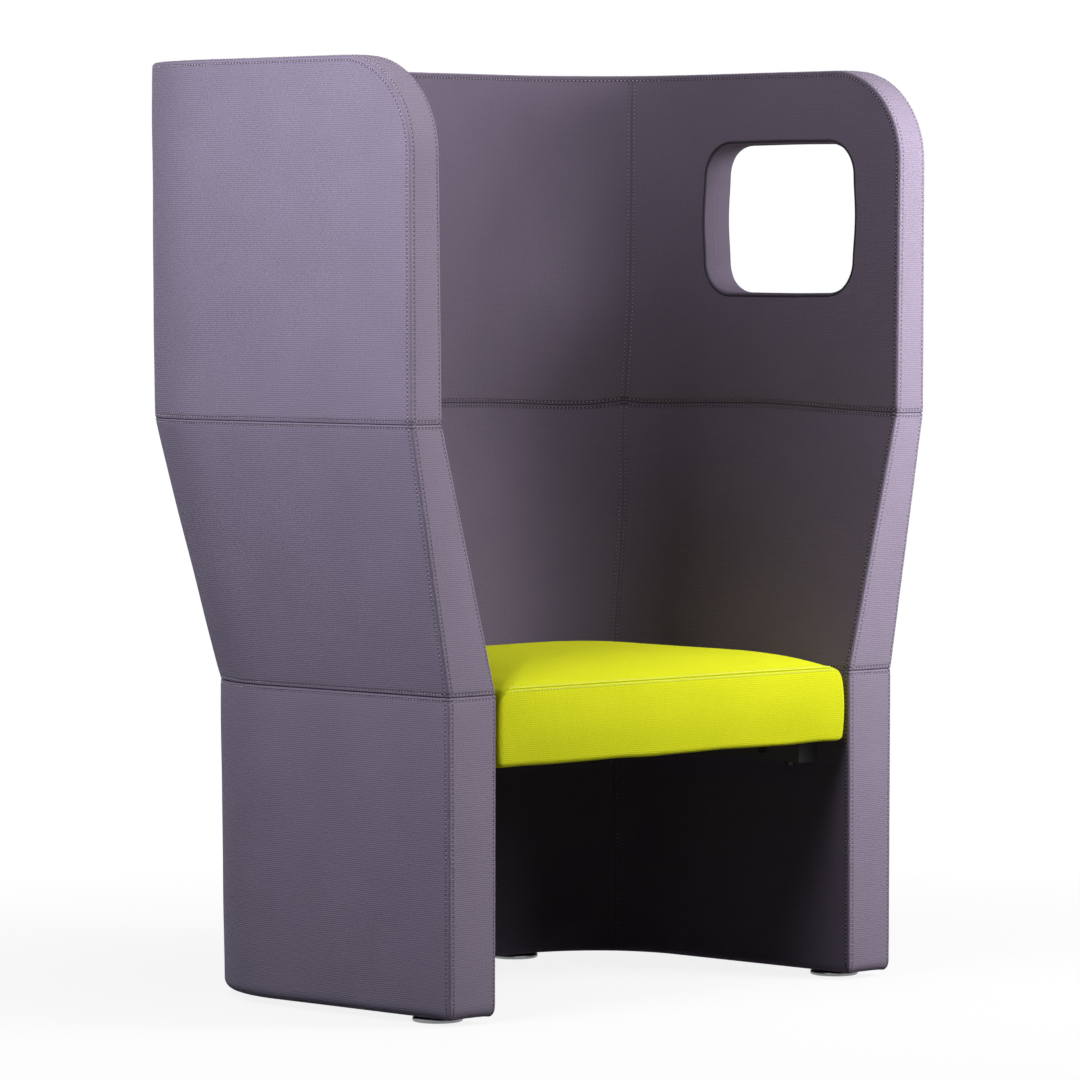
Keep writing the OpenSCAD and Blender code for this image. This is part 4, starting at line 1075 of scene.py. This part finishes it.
def solid_box(name):
    """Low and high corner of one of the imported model's solids, to a hundredth."""
    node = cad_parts[name]
    corners = np.array([(node.matrix_world @ Vector(c))[:] for c in node.bound_box]) * mm
    return corners.min(0).round(2), corners.max(0).round(2)


glide_names = ("front_left", "front_right", "rear_left", "rear_right")
glide_places = [tuple(sum(solid_box(f"{name}_glide"))[:2] / 2) for name in glide_names]


dust_end = 18.5
dust_thick = 0.45
dust_inset = foot_r + 0.2
glide_cut_r = 13.0


def dust_sheet():
    far_straight = 2 * half_run - straight
    runs = np.r_[np.linspace(dust_end, straight, 26),
                 np.linspace(straight, far_straight, 90)[1:],
                 np.linspace(far_straight, 2 * half_run - dust_end, 26)[1:]]
    shares = np.linspace(0.0, 1.0, 7)
    base = wall_foot + 1.0
    run, share = np.meshgrid(runs, shares, indexing="ij")
    depth = dust_inset + share * (thickness[0] - 2 * dust_inset)
    z = base - 0.5 * np.sin(math.pi * share) * (0.5 + 0.5 * np.sin(run / 37.0))
    low = on_wall(run, z, depth).reshape(-1, 3)
    high = on_wall(run, 0 * z + base + dust_thick, depth).reshape(-1, 3)
    wide = len(shares)
    faces = []
    for r in range(len(runs) - 1):
        for c in range(wide - 1):
            face = [r * wide + c, r * wide + c + 1, (r + 1) * wide + c + 1, (r + 1) * wide + c]
            middle = low[face].mean(0)
            gaps = [math.hypot(middle[0] - x, middle[1] - y) for x, y in glide_places]
            if min(gaps) > glide_cut_r:
                faces.append(face)
    uv = np.stack([run, depth], -1).reshape(-1, 2) / mm
    piece = sewn_piece("dust_sheet", low, high, faces, uv, 0 * run.reshape(-1), dust_cloth)
    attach(piece, "root")
    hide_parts("base_dust_cover")


dust_sheet()

# Stitches: two rows of spun thread beside every seam of the covers, one on each side.
# Each stitch is a short length of thread that dives into the cloth at both ends.
thread_pitch = 6.0
thread_length = 3.3
thread_width = 1.4
# A stitch has ten points: one at each end and two rings of four between them
stitch_faces = [[0, 2, 1], [0, 3, 2], [0, 4, 3], [0, 1, 4],
                [1, 2, 6, 5], [2, 3, 7, 6], [3, 4, 8, 7], [4, 1, 5, 8],
                [9, 5, 6], [9, 6, 7], [9, 7, 8], [9, 8, 5]]


def thread_finish(name, colour, dark):
    finish, nodes, _ = new_finish(name)
    fill(nodes["Principled BSDF"], {"Roughness": 0.6, "Specular IOR Level": 0.35})
    mottle(finish, dark, colour, 700.0)
    return finish


def stitches(name, lines, finish):
    """Separate stitches along lines of points with outward ways."""
    verts = []
    faces = []
    for line, out in lines:
        steps = np.linalg.norm(np.diff(line, axis=0), axis=1)
        along = np.concatenate([[0.0], np.cumsum(steps)])
        count = int(along[-1] // thread_pitch)
        if count < 1:
            continue
        centres = (np.arange(count) + 0.5) * along[-1] / count

        def at(where, values):
            return np.stack([np.interp(where, along, values[:, k]) for k in range(3)], -1)

        ends = [at(centres + f * thread_length / 2, line) for f in (-1.0, -0.6, 0.6, 1.0)]
        way = at(centres, out)
        way /= np.linalg.norm(way, axis=1)[:, None]
        run = ends[2] - ends[1]
        run /= np.linalg.norm(run, axis=1)[:, None]
        wide = np.cross(run, way)
        half = thread_width / 2
        rings = [[ends[0] - way * 0.5]]
        for end in (ends[1], ends[2]):
            rings.append([end + wide * half, end + way * half * 1.1, end - wide * half,
                          end - way * half])
        rings.append([ends[3] - way * 0.5])
        block = np.stack([p for ring in rings for p in ring], 1)
        first = sum(len(v) for v in verts)
        verts.append(block.reshape(-1, 3))
        for k in range(count):
            faces += [[first + k * 10 + v for v in face] for face in stitch_faces]
    data = bpy.data.meshes.new(name)
    data.from_pydata([tuple(v) for v in np.concatenate(verts) / mm], [], faces)
    data.shade_smooth()
    data.materials.append(finish)
    piece = placed(name, data)
    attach(piece, "root")


def seam_line(runs, z, inside):
    """Line of stitches at one height round the wall, with its outward ways."""
    runs = np.asarray(runs, float)
    level = z + 0 * runs
    places = []
    for lift in (0.6, -0.4):
        depth = wall_thickness(level) - lift if inside else lift + 0 * level
        if inside:
            moved, height = inner_pull(runs, level)
            places.append(on_wall(moved, height, depth))
        else:
            places.append(on_wall(runs, level, depth))
    return places[0], places[1] - places[0]


def edge_line(stops, t, on_band, inside):
    """Line of stitches along an edge, on the band or on the panel beside it."""
    stops = np.array(stops, float)
    places = []
    for lift in (0.2, -0.8):
        first, second = round_edge(t + 0 * stops[:, 0], lift, edge_r)
        setback, depth = (second, first) if on_band else (first, second)
        z = stops[:, 1] + stops[:, 3] * setback
        run = stops[:, 0] + stops[:, 2] * setback
        deep = wall_thickness(z) - depth if inside else depth
        places.append(on_wall(run, z, deep))
    return places[0], places[1] - places[0]


def upright_line(run, z0, z1, shift):
    """Line of stitches up an inner corner, beside its seam."""
    z = np.linspace(z0, z1, 60)
    places = []
    for lift in (0.45, -0.55):
        thick = wall_thickness(z)
        runs, height = inner_pull(run + shift * corner_r / (corner_r - thick), z)
        places.append(on_wall(runs, height, thick - lift))
    return places[0], places[1] - places[0]


row_end = 13.0
row_gap = 7.5
row_foot = wall_foot + 16.0
row_turn = 6.0
# Thread in its own mauve, painted lighter than the cloth as painted highlight; the inner thread is
# also painted darker as painted shade.
highlit_outer_thread = thread_finish("highlit_outer_thread", (0.66, 0.60, 0.72, 1.0), (0.48, 0.43, 0.53, 1.0))
highlit_shaded_inner_thread = thread_finish("highlit_shaded_inner_thread", (0.50, 0.45, 0.55, 1.0), (0.36, 0.32, 0.41, 1.0))
front_path = [(0.0, z, 1.0, 0.0, z) for z in np.linspace(row_foot, high_seam, 120)]
left_path = front_path + top_stops[1:len(top_stops) // 2 + 1]
right_path = [(2 * half_run - a, z, -da, dz, s) for a, z, da, dz, s in left_path]
outer_lines = []
inner_lines = []
for z in (low_seam, high_seam):
    for up in (-stitch_row, stitch_row):
        whole = np.linspace(row_end, 2 * half_run - row_end, 700)
        outer_lines.append(seam_line(whole, z + up, False))
        for start, end, count in ((row_end, inner_seam - row_gap, 200),
                                  (inner_seam + row_gap, right_seam - row_gap, 400),
                                  (right_seam + row_gap, 2 * half_run - row_end, 200)):
            inner_lines.append(seam_line(np.linspace(start, end, count), z + up, True))
        for at, way in ((0.0, 1.0), (2 * half_run, -1.0)):
            thick = float(wall_thickness(z + up))
            depths = np.linspace(8.0, thick - 8.0, 30)
            level = z + up + 0 * depths
            flat = on_wall(at + way * 0.45 + 0 * depths, level, depths)
            proud = on_wall(at - way * 0.55 + 0 * depths, level, depths)
            outer_lines.append((flat, proud - flat))
for path in (left_path, right_path):
    outer_lines.append(edge_line(path, edge_row, False, False))
    outer_lines.append(edge_line(path, edge_row, True, False))
    inner_lines.append(edge_line(path, edge_row, False, True))
    outer_lines.append(edge_line(path, edge_row, True, True))
for run in (inner_seam, right_seam):
    for shift in (-stitch_row, stitch_row):
        for z0, z1 in ((row_foot, low_seam - row_turn),
                       (low_seam + row_turn, high_seam - row_turn),
                       (high_seam + row_turn, wall_top - 2 * row_turn)):
            inner_lines.append(upright_line(run, z0, z1, shift))
stitches("outer_stitches", outer_lines, highlit_outer_thread)
stitches("inner_stitches", inner_lines, highlit_shaded_inner_thread)

# Seat cushion: a thick foam block on a board, in its own lime cover, crowned in the middle.
# The front panel is joined to the top by a seam with two rows of thread along the front edge.
# Cloth swollen by pressure from inside gives the cover its last, uneven fullness.
seat_slack = 1.2
seat_box_low, seat_box_high = solid_box("seat_cover")
seat_half = float(seat_box_high[0]) - seat_slack
seat_front = float(seat_box_low[1]) + seat_slack
seat_back = float(seat_box_high[1]) - seat_slack
seat_rear_r = 148.67
seat_front_corner = 14.0
seat_low = 347.5
seat_high = 459.0
seat_crown = 27.5
seat_mid_y = -78.8
seat_side_r = 30.0
seat_front_r = 9.0
seat_foot_r = 9.0
seat_bulge = 1.6
front_bulge = 1.4
corner_fall = 10.0
fall_reach = 36.0
fall_depth = 60.0
lime = (0.85, 0.86, 0.016, 1.0)
lime_dark = (0.60, 0.65, 0.005, 1.0)
seat_cloth = cloth_finish("seat_cloth", lime, lime_dark, 0.15, (0.30, 0.36, 0.01, 1.0))


def seat_plan(side_inset, front_inset):
    """Seat outline drawn in at its sides and at its front, with each point's front share."""
    hw = seat_half - side_inset
    y0 = seat_front + front_inset
    yc = seat_back - seat_rear_r
    points = []
    for x in np.linspace(0.0, hw - seat_front_corner, 40):
        points.append((x, y0, 1.0))
    for k in range(1, 9):
        angle = math.pi / 2 * (1 - k / 8)
        points.append((hw - seat_front_corner * (1 - math.cos(angle)),
                       y0 + seat_front_corner * (1 - math.sin(angle)), 1 - k / 8))
    for y in np.linspace(y0 + seat_front_corner, yc, 34)[1:]:
        points.append((hw, y, 0.0))
    for k in range(1, 19):
        angle = math.pi / 2 * k / 18
        points.append((seat_half - seat_rear_r + (seat_rear_r - side_inset) * math.cos(angle),
                       yc + (seat_rear_r - side_inset) * math.sin(angle), 0.0))
    end = seat_half - seat_rear_r
    for x in np.linspace(end, 0.0, 20)[1:]:
        points.append((x, seat_back - side_inset, 0.0))
    half = np.array(points)
    other = half[1:-1][::-1] * np.array([-1.0, 1.0, 1.0])
    return np.concatenate([half, other])


def seat_ring(side_inset, front_inset, side_z, front_z):
    plan = seat_plan(side_inset, front_inset)
    z = side_z + (front_z - side_z) * plan[:, 2]
    return np.stack([plan[:, 0], plan[:, 1], z], -1)


def seat_rings():
    rings = [seat_ring(seat_foot_r + 40, seat_foot_r + 40, seat_low, seat_low),
             seat_ring(seat_foot_r + 12, seat_foot_r + 12, seat_low, seat_low)]
    for angle in np.radians([0, 15, 30, 45, 60, 75, 90]):
        inset = seat_foot_r * (1 - math.sin(angle))
        z = seat_low + seat_foot_r * (1 - math.cos(angle))
        rings.append(seat_ring(inset, inset, z, z))
    top_side = seat_high - seat_side_r
    top_front = seat_high - seat_front_r
    for share in (0.12, 0.25, 0.4, 0.55, 0.7, 0.85, 0.95):
        swell = -seat_bulge * math.sin(math.pi * share) ** 0.7
        side_z = seat_low + seat_foot_r + (top_side - seat_low - seat_foot_r) * share
        front_z = seat_low + seat_foot_r + (top_front - seat_low - seat_foot_r) * share
        rings.append(seat_ring(swell, swell * front_bulge, side_z, front_z))
    first_roll = len(rings)
    for angle in np.radians([0, 10, 20, 30, 36, 40, 43, 45, 47, 50, 54, 60, 70, 80, 90]):
        rings.append(seat_ring(seat_side_r * (1 - math.cos(angle)),
                               seat_front_r * (1 - math.cos(angle)),
                               top_side + seat_side_r * math.sin(angle),
                               top_front + seat_front_r * math.sin(angle)))
    edge = rings[-1]
    for share in (0.006, 0.012, 0.02, 0.032, 0.05, 0.08, 0.12, 0.17, 0.23, 0.3, 0.38, 0.47, 0.57,
                  0.68, 0.79, 0.9, 0.97):
        ring = edge.copy()
        ring[:, 0] = edge[:, 0] * (1 - share)
        ring[:, 1] = edge[:, 1] + (seat_mid_y - edge[:, 1]) * share
        ring[:, 2] = seat_high + seat_crown * (1 - (1 - share) ** 4)
        rings.append(ring)
    return rings, first_roll


def front_fall(x):
    """How far the front edge falls away toward the cushion's two front corners."""
    return corner_fall * np.clip((np.abs(x) - seat_half + fall_reach) / fall_reach, 0, 1) ** 2


bag_inset = 1.0
bag_voxel = 0.009
bag_cap = 3.5
bag_pressure = 2.0
bag_stiffness = 60.0
bag_frames = 20
held_reach = 16.0
near_count = 16
near_soft = 4.0


def seat_swelling(points, faces, seam_y, seam_z):
    """How far air pressure moves each point of the cover, with its hem and its seam held."""
    data = bpy.data.meshes.new("seat_bag")
    data.from_pydata([tuple(p) for p in points / mm], [], faces)
    mesh = bmesh.new()
    mesh.from_mesh(data)
    bmesh.ops.recalc_face_normals(mesh, faces=mesh.faces)
    mesh.normal_update()
    outward = np.array([v.normal[:] for v in mesh.verts])
    for vert in mesh.verts:
        vert.co -= vert.normal * bag_inset / mm
    mesh.to_mesh(data)
    mesh.free()
    bag = placed("seat_bag", data)
    even = bag.modifiers.new("even", "REMESH")
    even.mode = "VOXEL"
    even.voxel_size = bag_voxel
    graph = bpy.context.evaluated_depsgraph_get()
    cloth_mesh = bpy.data.meshes.new_from_object(bag.evaluated_get(graph))
    bag.modifiers.remove(even)
    bag.data = cloth_mesh
    start = np.array([v.co[:] for v in cloth_mesh.vertices]) * mm
    held = bag.vertex_groups.new(name="held")
    hem = np.clip(1.0 - (start[:, 2] - seat_low) / held_reach, 0.0, 1.0)
    from_seam = np.hypot(start[:, 1] - seam_y, start[:, 2] - seam_z)
    seam = 0.9 * np.clip(1.0 - from_seam / held_reach, 0, 1)
    across = np.abs(start[:, 0])
    turn = np.hypot(np.maximum(across - seat_half + seat_rear_r, 0.0),
                    np.maximum(start[:, 1] - seat_back + seat_rear_r, 0.0))
    wall = np.maximum(across - seat_half, turn - seat_rear_r) + held_reach
    below = seat_high - held_reach / 2 - start[:, 2]
    wall = np.clip(2 * wall / held_reach, 0.0, 1.0) * np.clip(below / held_reach, 0.0, 1.0)
    for k, weight in enumerate(np.maximum(np.maximum(hem, seam), wall)):
        held.add([k], float(weight), "REPLACE")
    cloth = bag.modifiers.new("cloth", "CLOTH")
    cloth.settings.vertex_group_mass = "held"
    cloth.settings.use_pressure = True
    cloth.settings.uniform_pressure_force = bag_pressure
    cloth.settings.tension_stiffness = bag_stiffness
    cloth.settings.compression_stiffness = bag_stiffness
    cloth.settings.effector_weights.gravity = 0.0
    cloth.settings.quality = 4
    cloth.collision_settings.use_collision = False
    for step in range(1, bag_frames + 1):
        bpy.context.scene.frame_set(step)
    graph = bpy.context.evaluated_depsgraph_get()
    swollen = bag.evaluated_get(graph).to_mesh()
    ended = np.array([v.co[:] for v in swollen.vertices]) * mm
    bpy.context.scene.frame_set(1)
    bpy.data.objects.remove(bag)
    bpy.data.meshes.remove(data)
    tree = KDTree(len(start))
    for k, place in enumerate(start):
        tree.insert(place, k)
    tree.balance()
    moved = np.zeros_like(points)
    for k, place in enumerate(points):
        near = tree.find_n(place, near_count)
        weights = np.array([1.0 / (near_soft + found[2] ** 2) for found in near])
        moves = np.array([ended[found[1]] - start[found[1]] for found in near])
        moved[k] = (moves * weights[:, None]).sum(0) / weights.sum()
    moved -= outward * bag_inset
    size = np.linalg.norm(moved, axis=1)
    return moved * (bag_cap / (bag_cap + size))[:, None]


def seat_cushion():
    """The cover as one closed skin, ring by ring from its underside to the crown."""
    rings, first_roll = seat_rings()
    size = len(rings[0])
    points = np.concatenate(rings)
    faces = []
    for k in range(len(rings) - 1):
        for i in range(size):
            j = (i + 1) % size
            faces.append([k * size + i, k * size + j, (k + 1) * size + j, (k + 1) * size + i])
    faces.append(list(range(size))[::-1])
    centre = len(points)
    points = np.concatenate([points, [[0.0, seat_mid_y, seat_high + seat_crown]]])
    last = (len(rings) - 1) * size
    faces += [[last + i, last + (i + 1) % size, centre] for i in range(size)]
    seam_y = seat_front + seat_front_r * (1 - math.cos(math.pi / 4))
    seam_z = seat_high - seat_front_r * (1 - math.sin(math.pi / 4))
    y, z = points[:, 1], points[:, 2]
    from_seam = np.hypot(y - seam_y, z - seam_z)
    reach = np.interp(np.abs(points[:, 0]), [seat_half - 40, seat_half - 4], [1.0, 0.15])
    drop = np.interp(from_seam, [0, 0.8, 2.0, 3.4, 4.4, 6.5], [1.5, 0.7, 0.15, 0.35, 0.2, 0])
    way = np.array([0.0, -math.sqrt(0.5), math.sqrt(0.5)])
    shaped = points - way * (drop * reach)[:, None]
    shaped[:, 2] += ripple(points[:, 0], points[:, 1], 0.5) * (z > seat_high - 2)
    front_face = (y < seat_front + 1) & (z < seat_high - 12)
    shaped[:, 1] -= ripple(points[:, 0] * 1.3, z, 0.35) * front_face
    fall = front_fall(points[:, 0]) * np.clip(1 - (y - seat_front) / fall_depth, 0, 1)
    shaped[:, 2] -= fall * np.clip((z - seat_high + fall_depth) / (fall_depth - 10.0), 0, 1)
    shaped += seat_swelling(shaped, faces, seam_y, seam_z)
    low_edge = np.clip(1 - np.abs(z - seat_low) / 30.0, 0, 1)
    shaped[:, 2] += low_edge * ripple(points[:, 0] * 1.4 + 40, y, 0.8)
    data = bpy.data.meshes.new("seat_cushion")
    data.from_pydata([tuple(p) for p in shaped / mm], [], faces)
    uvs = data.uv_layers.new(name="cloth")
    closed = np.concatenate([rings[9], rings[9][:1]])
    around = np.concatenate([[0.0], np.cumsum(np.linalg.norm(np.diff(closed, axis=0), axis=1))])
    for face in data.polygons:
        places = [data.loops[loop].vertex_index % size for loop in face.loop_indices]
        wraps = len(places) == 4 and size - 1 in places
        for loop in face.loop_indices:
            k = data.loops[loop].vertex_index
            px, py, pz = points[k]
            upright = k < (first_roll + 7) * size
            if upright:
                place = size if wraps and k % size == 0 else k % size
                uvs.data[loop].uv = (around[place] / mm, pz / mm)
            else:
                uvs.data[loop].uv = (px / mm, py / mm)
    # Painted shade along the front seam and along its row of stitches.
    shade = data.attributes.new("seam", "FLOAT", "POINT")
    value = np.clip(1.0 - from_seam / seam_half, 0.0, 1.0) * reach
    value = np.maximum(value, 0.7 * np.clip(1.0 - np.abs(from_seam - 4.6) / 1.6, 0, 1) * reach)
    shade.data.foreach_set("value", value.astype(np.float32))
    face_outward(data)
    data.materials.append(seat_cloth)
    piece = placed("seat_cushion", data)
    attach(piece, "root")
    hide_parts("seat_cover", "seat_foam")
    return piece


cushion = seat_cushion()
cushion_skin = BVHTree.FromPolygons([v.co for v in cushion.data.vertices],
                                    [tuple(p.vertices) for p in cushion.data.polygons])
seat_thread = thread_finish("seat_thread", (0.95, 0.95, 0.40, 1.0), (0.88, 0.90, 0.28, 1.0))
seat_lines = []
row_reach = seat_half - 27.0
reach = np.linspace(-row_reach, row_reach, 200)
fall = front_fall(reach)
row_drop = 6.2
row_back = 5.9
for y, z in ((seat_front, seat_high - row_drop), (seat_front + row_back, seat_high)):
    near = [cushion_skin.find_nearest((x / mm, y / mm, (z - low) / mm))
            for x, low in zip(reach, fall)]
    line = np.array([found[0][:] for found in near]) * mm
    out = np.array([found[1][:] for found in near])
    seat_lines.append((line, out))
stitches("seat_stitches", seat_lines, seat_thread)

# Fittings: bolts near-black as painted shade under the seat, zinc-plated tee nuts and threaded
# studs, pressed and screwed in.
# They hold the seat on its bearers and carry the four levelling glides.
shade_black_bolts = ["bearer_bolts", "seat_bolts"]
zinc_names = ["seat_tee_nuts", "glide_tee_nuts"] + [f"{name}_stud" for name in glide_names]


def steel_finish(name, colour, roughness, scratch):
    finish, nodes, links = new_finish(name)
    shader = nodes["Principled BSDF"]
    fill(shader, {"Metallic": 1.0})
    dull = tuple(c * 0.7 for c in colour[:3]) + (1.0,)
    wear = mottle(finish, colour, dull, scratch, 4.0)
    gloss = add(nodes, "ShaderNodeMapRange", {"To Min": roughness - 0.08,
                                              "To Max": roughness + 0.12})
    links.new(wear, gloss.inputs["Value"])
    links.new(gloss.outputs["Result"], shader.inputs["Roughness"])
    return finish


zinc = steel_finish("zinc_steel", (0.62, 0.64, 0.66, 1.0), 0.35, 60.0)
dress(zinc, zinc_names)
# Near-black steel: painted shade for the bolts under the seat.
shade_black_steel = steel_finish("shade_black_steel", (0.035, 0.035, 0.037, 1.0), 0.5, 60.0)
dress(shade_black_steel, shade_black_bolts)

# Levelling glides: turned steel discs on studs, one under each front corner and two behind.
# Each screws out of its tee nut by up to 8 mm and rides with its own stud.
disc_sides = 56
glide_steel = steel_finish("glide_steel", (0.30, 0.30, 0.31, 1.0), 0.3, 40.0)
glide_profile = [(0.0, 0.0), (28.0, 0.0), (31.5, 0.25), (33.6, 0.9), (34.7, 2.0), (35.0, 3.2),
                 (34.8, 5.2), (34.2, 6.3), (33.0, 6.95), (31.0, 7.0), (22.0, 7.2), (13.5, 7.6),
                 (11.6, 8.0), (11.0, 8.8), (10.9, 9.8), (10.3, 10.2), (0.0, 10.2)]
for name, (gx, gy) in zip(glide_names, glide_places):
    mesh = bmesh.new()
    rings = []
    for r, z in glide_profile:
        turns = [2 * math.pi * k / disc_sides for k in range(disc_sides if r else 1)]
        rings.append([mesh.verts.new(((gx + r * math.cos(turn)) / mm,
                                      (gy + r * math.sin(turn)) / mm, z / mm))
                      for turn in turns])
    for low, high in zip(rings, rings[1:]):
        for k in range(disc_sides):
            j = (k + 1) % disc_sides
            loop = [low[k % len(low)], low[j % len(low)],
                    high[j % len(high)], high[k % len(high)]]
            face = [v for n, v in enumerate(loop) if v is not loop[n - 1]]
            mesh.faces.new(face).smooth = True
    bmesh.ops.recalc_face_normals(mesh, faces=mesh.faces)
    data = bpy.data.meshes.new(f"{name}_glide_disc")
    mesh.to_mesh(data)
    mesh.free()
    data.materials.append(glide_steel)
    disc = placed(f"{name}_glide_disc", data)
    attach(disc, f"{name}_foot")
    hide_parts(f"{name}_glide")

# Studio: a plain pale floor, two soft boxes at the front right and others left, above, behind.
# The camera is a long lens a little above the middle of the chair, as in the photograph.
floor_half = 30


def seen_directly(nodes, links):
    """One for rays from the camera, a mirror or glass, and nothing for all others."""
    seen = nodes.new("ShaderNodeLightPath")
    total = seen.outputs["Is Camera Ray"]
    for ray in ("Is Glossy Ray", "Is Transmission Ray"):
        most = add(nodes, "ShaderNodeMath", {}, operation="MAXIMUM")
        links.new(total, most.inputs[0])
        links.new(seen.outputs[ray], most.inputs[1])
        total = most.outputs[0]
    return total


floor_mesh = bpy.data.meshes.new("floor")
floor_mesh.from_pydata([(x * floor_half, y * floor_half, 0)
                        for x, y in ((-1, -1), (1, -1), (1, 1), (-1, 1))], [], [(0, 1, 2, 3)])
floor = placed("floor", floor_mesh)
floor_paper, nodes, links = new_finish("floor_paper")
shader = nodes["Principled BSDF"]
fill(shader, {"Base Color": (0.10, 0.10, 0.10, 1.0), "Roughness": 0.9,
              "Specular IOR Level": 0.0})
bright = add(nodes, "ShaderNodeBsdfDiffuse", {"Color": (0.9, 0.9, 0.9, 1.0)})
glow = add(nodes, "ShaderNodeEmission", {"Color": (1.0, 1.0, 1.0, 1.0), "Strength": 1.0})
direct = seen_directly(nodes, links)
where = nodes.new("ShaderNodeTexCoord")
away = add(nodes, "ShaderNodeVectorMath", {}, operation="LENGTH")
links.new(where.outputs["Object"], away.inputs[0])
share = add(nodes, "ShaderNodeMapRange", {"From Min": 0.5, "From Max": 1.8, "To Min": 0.86,
                                          "To Max": 1.0})
links.new(away.outputs["Value"], share.inputs["Value"])
paper = nodes.new("ShaderNodeMixShader")
links.new(share.outputs["Result"], paper.inputs[0])
links.new(bright.outputs[0], paper.inputs[1])
links.new(glow.outputs[0], paper.inputs[2])
mixed = nodes.new("ShaderNodeMixShader")
links.new(direct, mixed.inputs[0])
links.new(shader.outputs[0], mixed.inputs[1])
links.new(paper.outputs[0], mixed.inputs[2])
links.new(mixed.outputs[0], nodes["Material Output"].inputs["Surface"])
floor_mesh.materials.append(floor_paper)
floor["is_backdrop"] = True

world = bpy.data.worlds.new("studio")
world.use_nodes = True
bpy.context.scene.world = world
nodes = world.node_tree.nodes
links = world.node_tree.links
sky = nodes["Background"]
where = nodes.new("ShaderNodeTexCoord")
parts = nodes.new("ShaderNodeSeparateXYZ")
ramp = nodes.new("ShaderNodeValToRGB")
ramp.color_ramp.elements[0].position = 0.35
ramp.color_ramp.elements[0].color = (0.10, 0.10, 0.10, 1.0)
ramp.color_ramp.elements[1].position = 0.9
ramp.color_ramp.elements[1].color = (0.75, 0.75, 0.76, 1.0)
raised = add(nodes, "ShaderNodeMath", {1: 0.5, 2: 0.5}, operation="MULTIPLY_ADD")
links.new(where.outputs["Generated"], parts.inputs[0])
links.new(parts.outputs[2], raised.inputs[0])
links.new(raised.outputs[0], ramp.inputs[0])
links.new(ramp.outputs["Color"], sky.inputs["Color"])
sky.inputs["Strength"].default_value = 0.02
white = add(nodes, "ShaderNodeBackground", {"Color": (1.0, 1.0, 1.0, 1.0), "Strength": 1.0})
direct = seen_directly(nodes, links)
mixed = nodes.new("ShaderNodeMixShader")
links.new(direct, mixed.inputs[0])
links.new(sky.outputs[0], mixed.inputs[1])
links.new(white.outputs[0], mixed.inputs[2])
links.new(mixed.outputs[0], nodes["World Output"].inputs["Surface"])


def soft_box(name, place, target, width, height, power):
    lamp = bpy.data.lights.new(name, "AREA")
    lamp.shape = "RECTANGLE"
    lamp.size = width
    lamp.size_y = height
    lamp.energy = power
    holder = placed(name, lamp)
    holder.location = place
    holder.rotation_euler = (Vector(target) - Vector(place)).to_track_quat("-Z", "Y").to_euler()


soft_box("key", (1.4, -2.2, 1.45), (0.4, 0.0, 1.0), 1.2, 1.2, 28.0)
soft_box("near_key", (0.75, -1.4, 1.4), (0.2, 0.0, 1.15), 0.7, 0.7, 25.0)
soft_box("left_fill", (-1.7, -0.4, 1.75), (-0.5, 0.0, 1.15), 0.9, 0.9, 27.0)
soft_box("top_light", (0.2, -0.5, 3.4), (0.0, 0.0, 0.5), 1.4, 1.4, 6.0)
soft_box("back_fill", (1.0, 2.9, 1.5), (0.0, 0.3, 0.7), 1.6, 1.6, 22.0)

bpy.context.scene.view_settings.view_transform = "Standard"
lens = bpy.data.cameras.new("camera")
lens.lens = 208.07
lens.sensor_width = 36.0
camera = placed("camera", lens)
eye = Vector((-6.318, -6.3956, 1.0354))
heading = 0.78409
tilt = 0.04402
aim = Vector((math.sin(heading) * math.cos(tilt), math.cos(heading) * math.cos(tilt),
              -math.sin(tilt)))
camera.location = eye
camera.rotation_euler = aim.to_track_quat("-Z", "Y").to_euler()
bpy.context.scene.camera = camera

low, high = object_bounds()
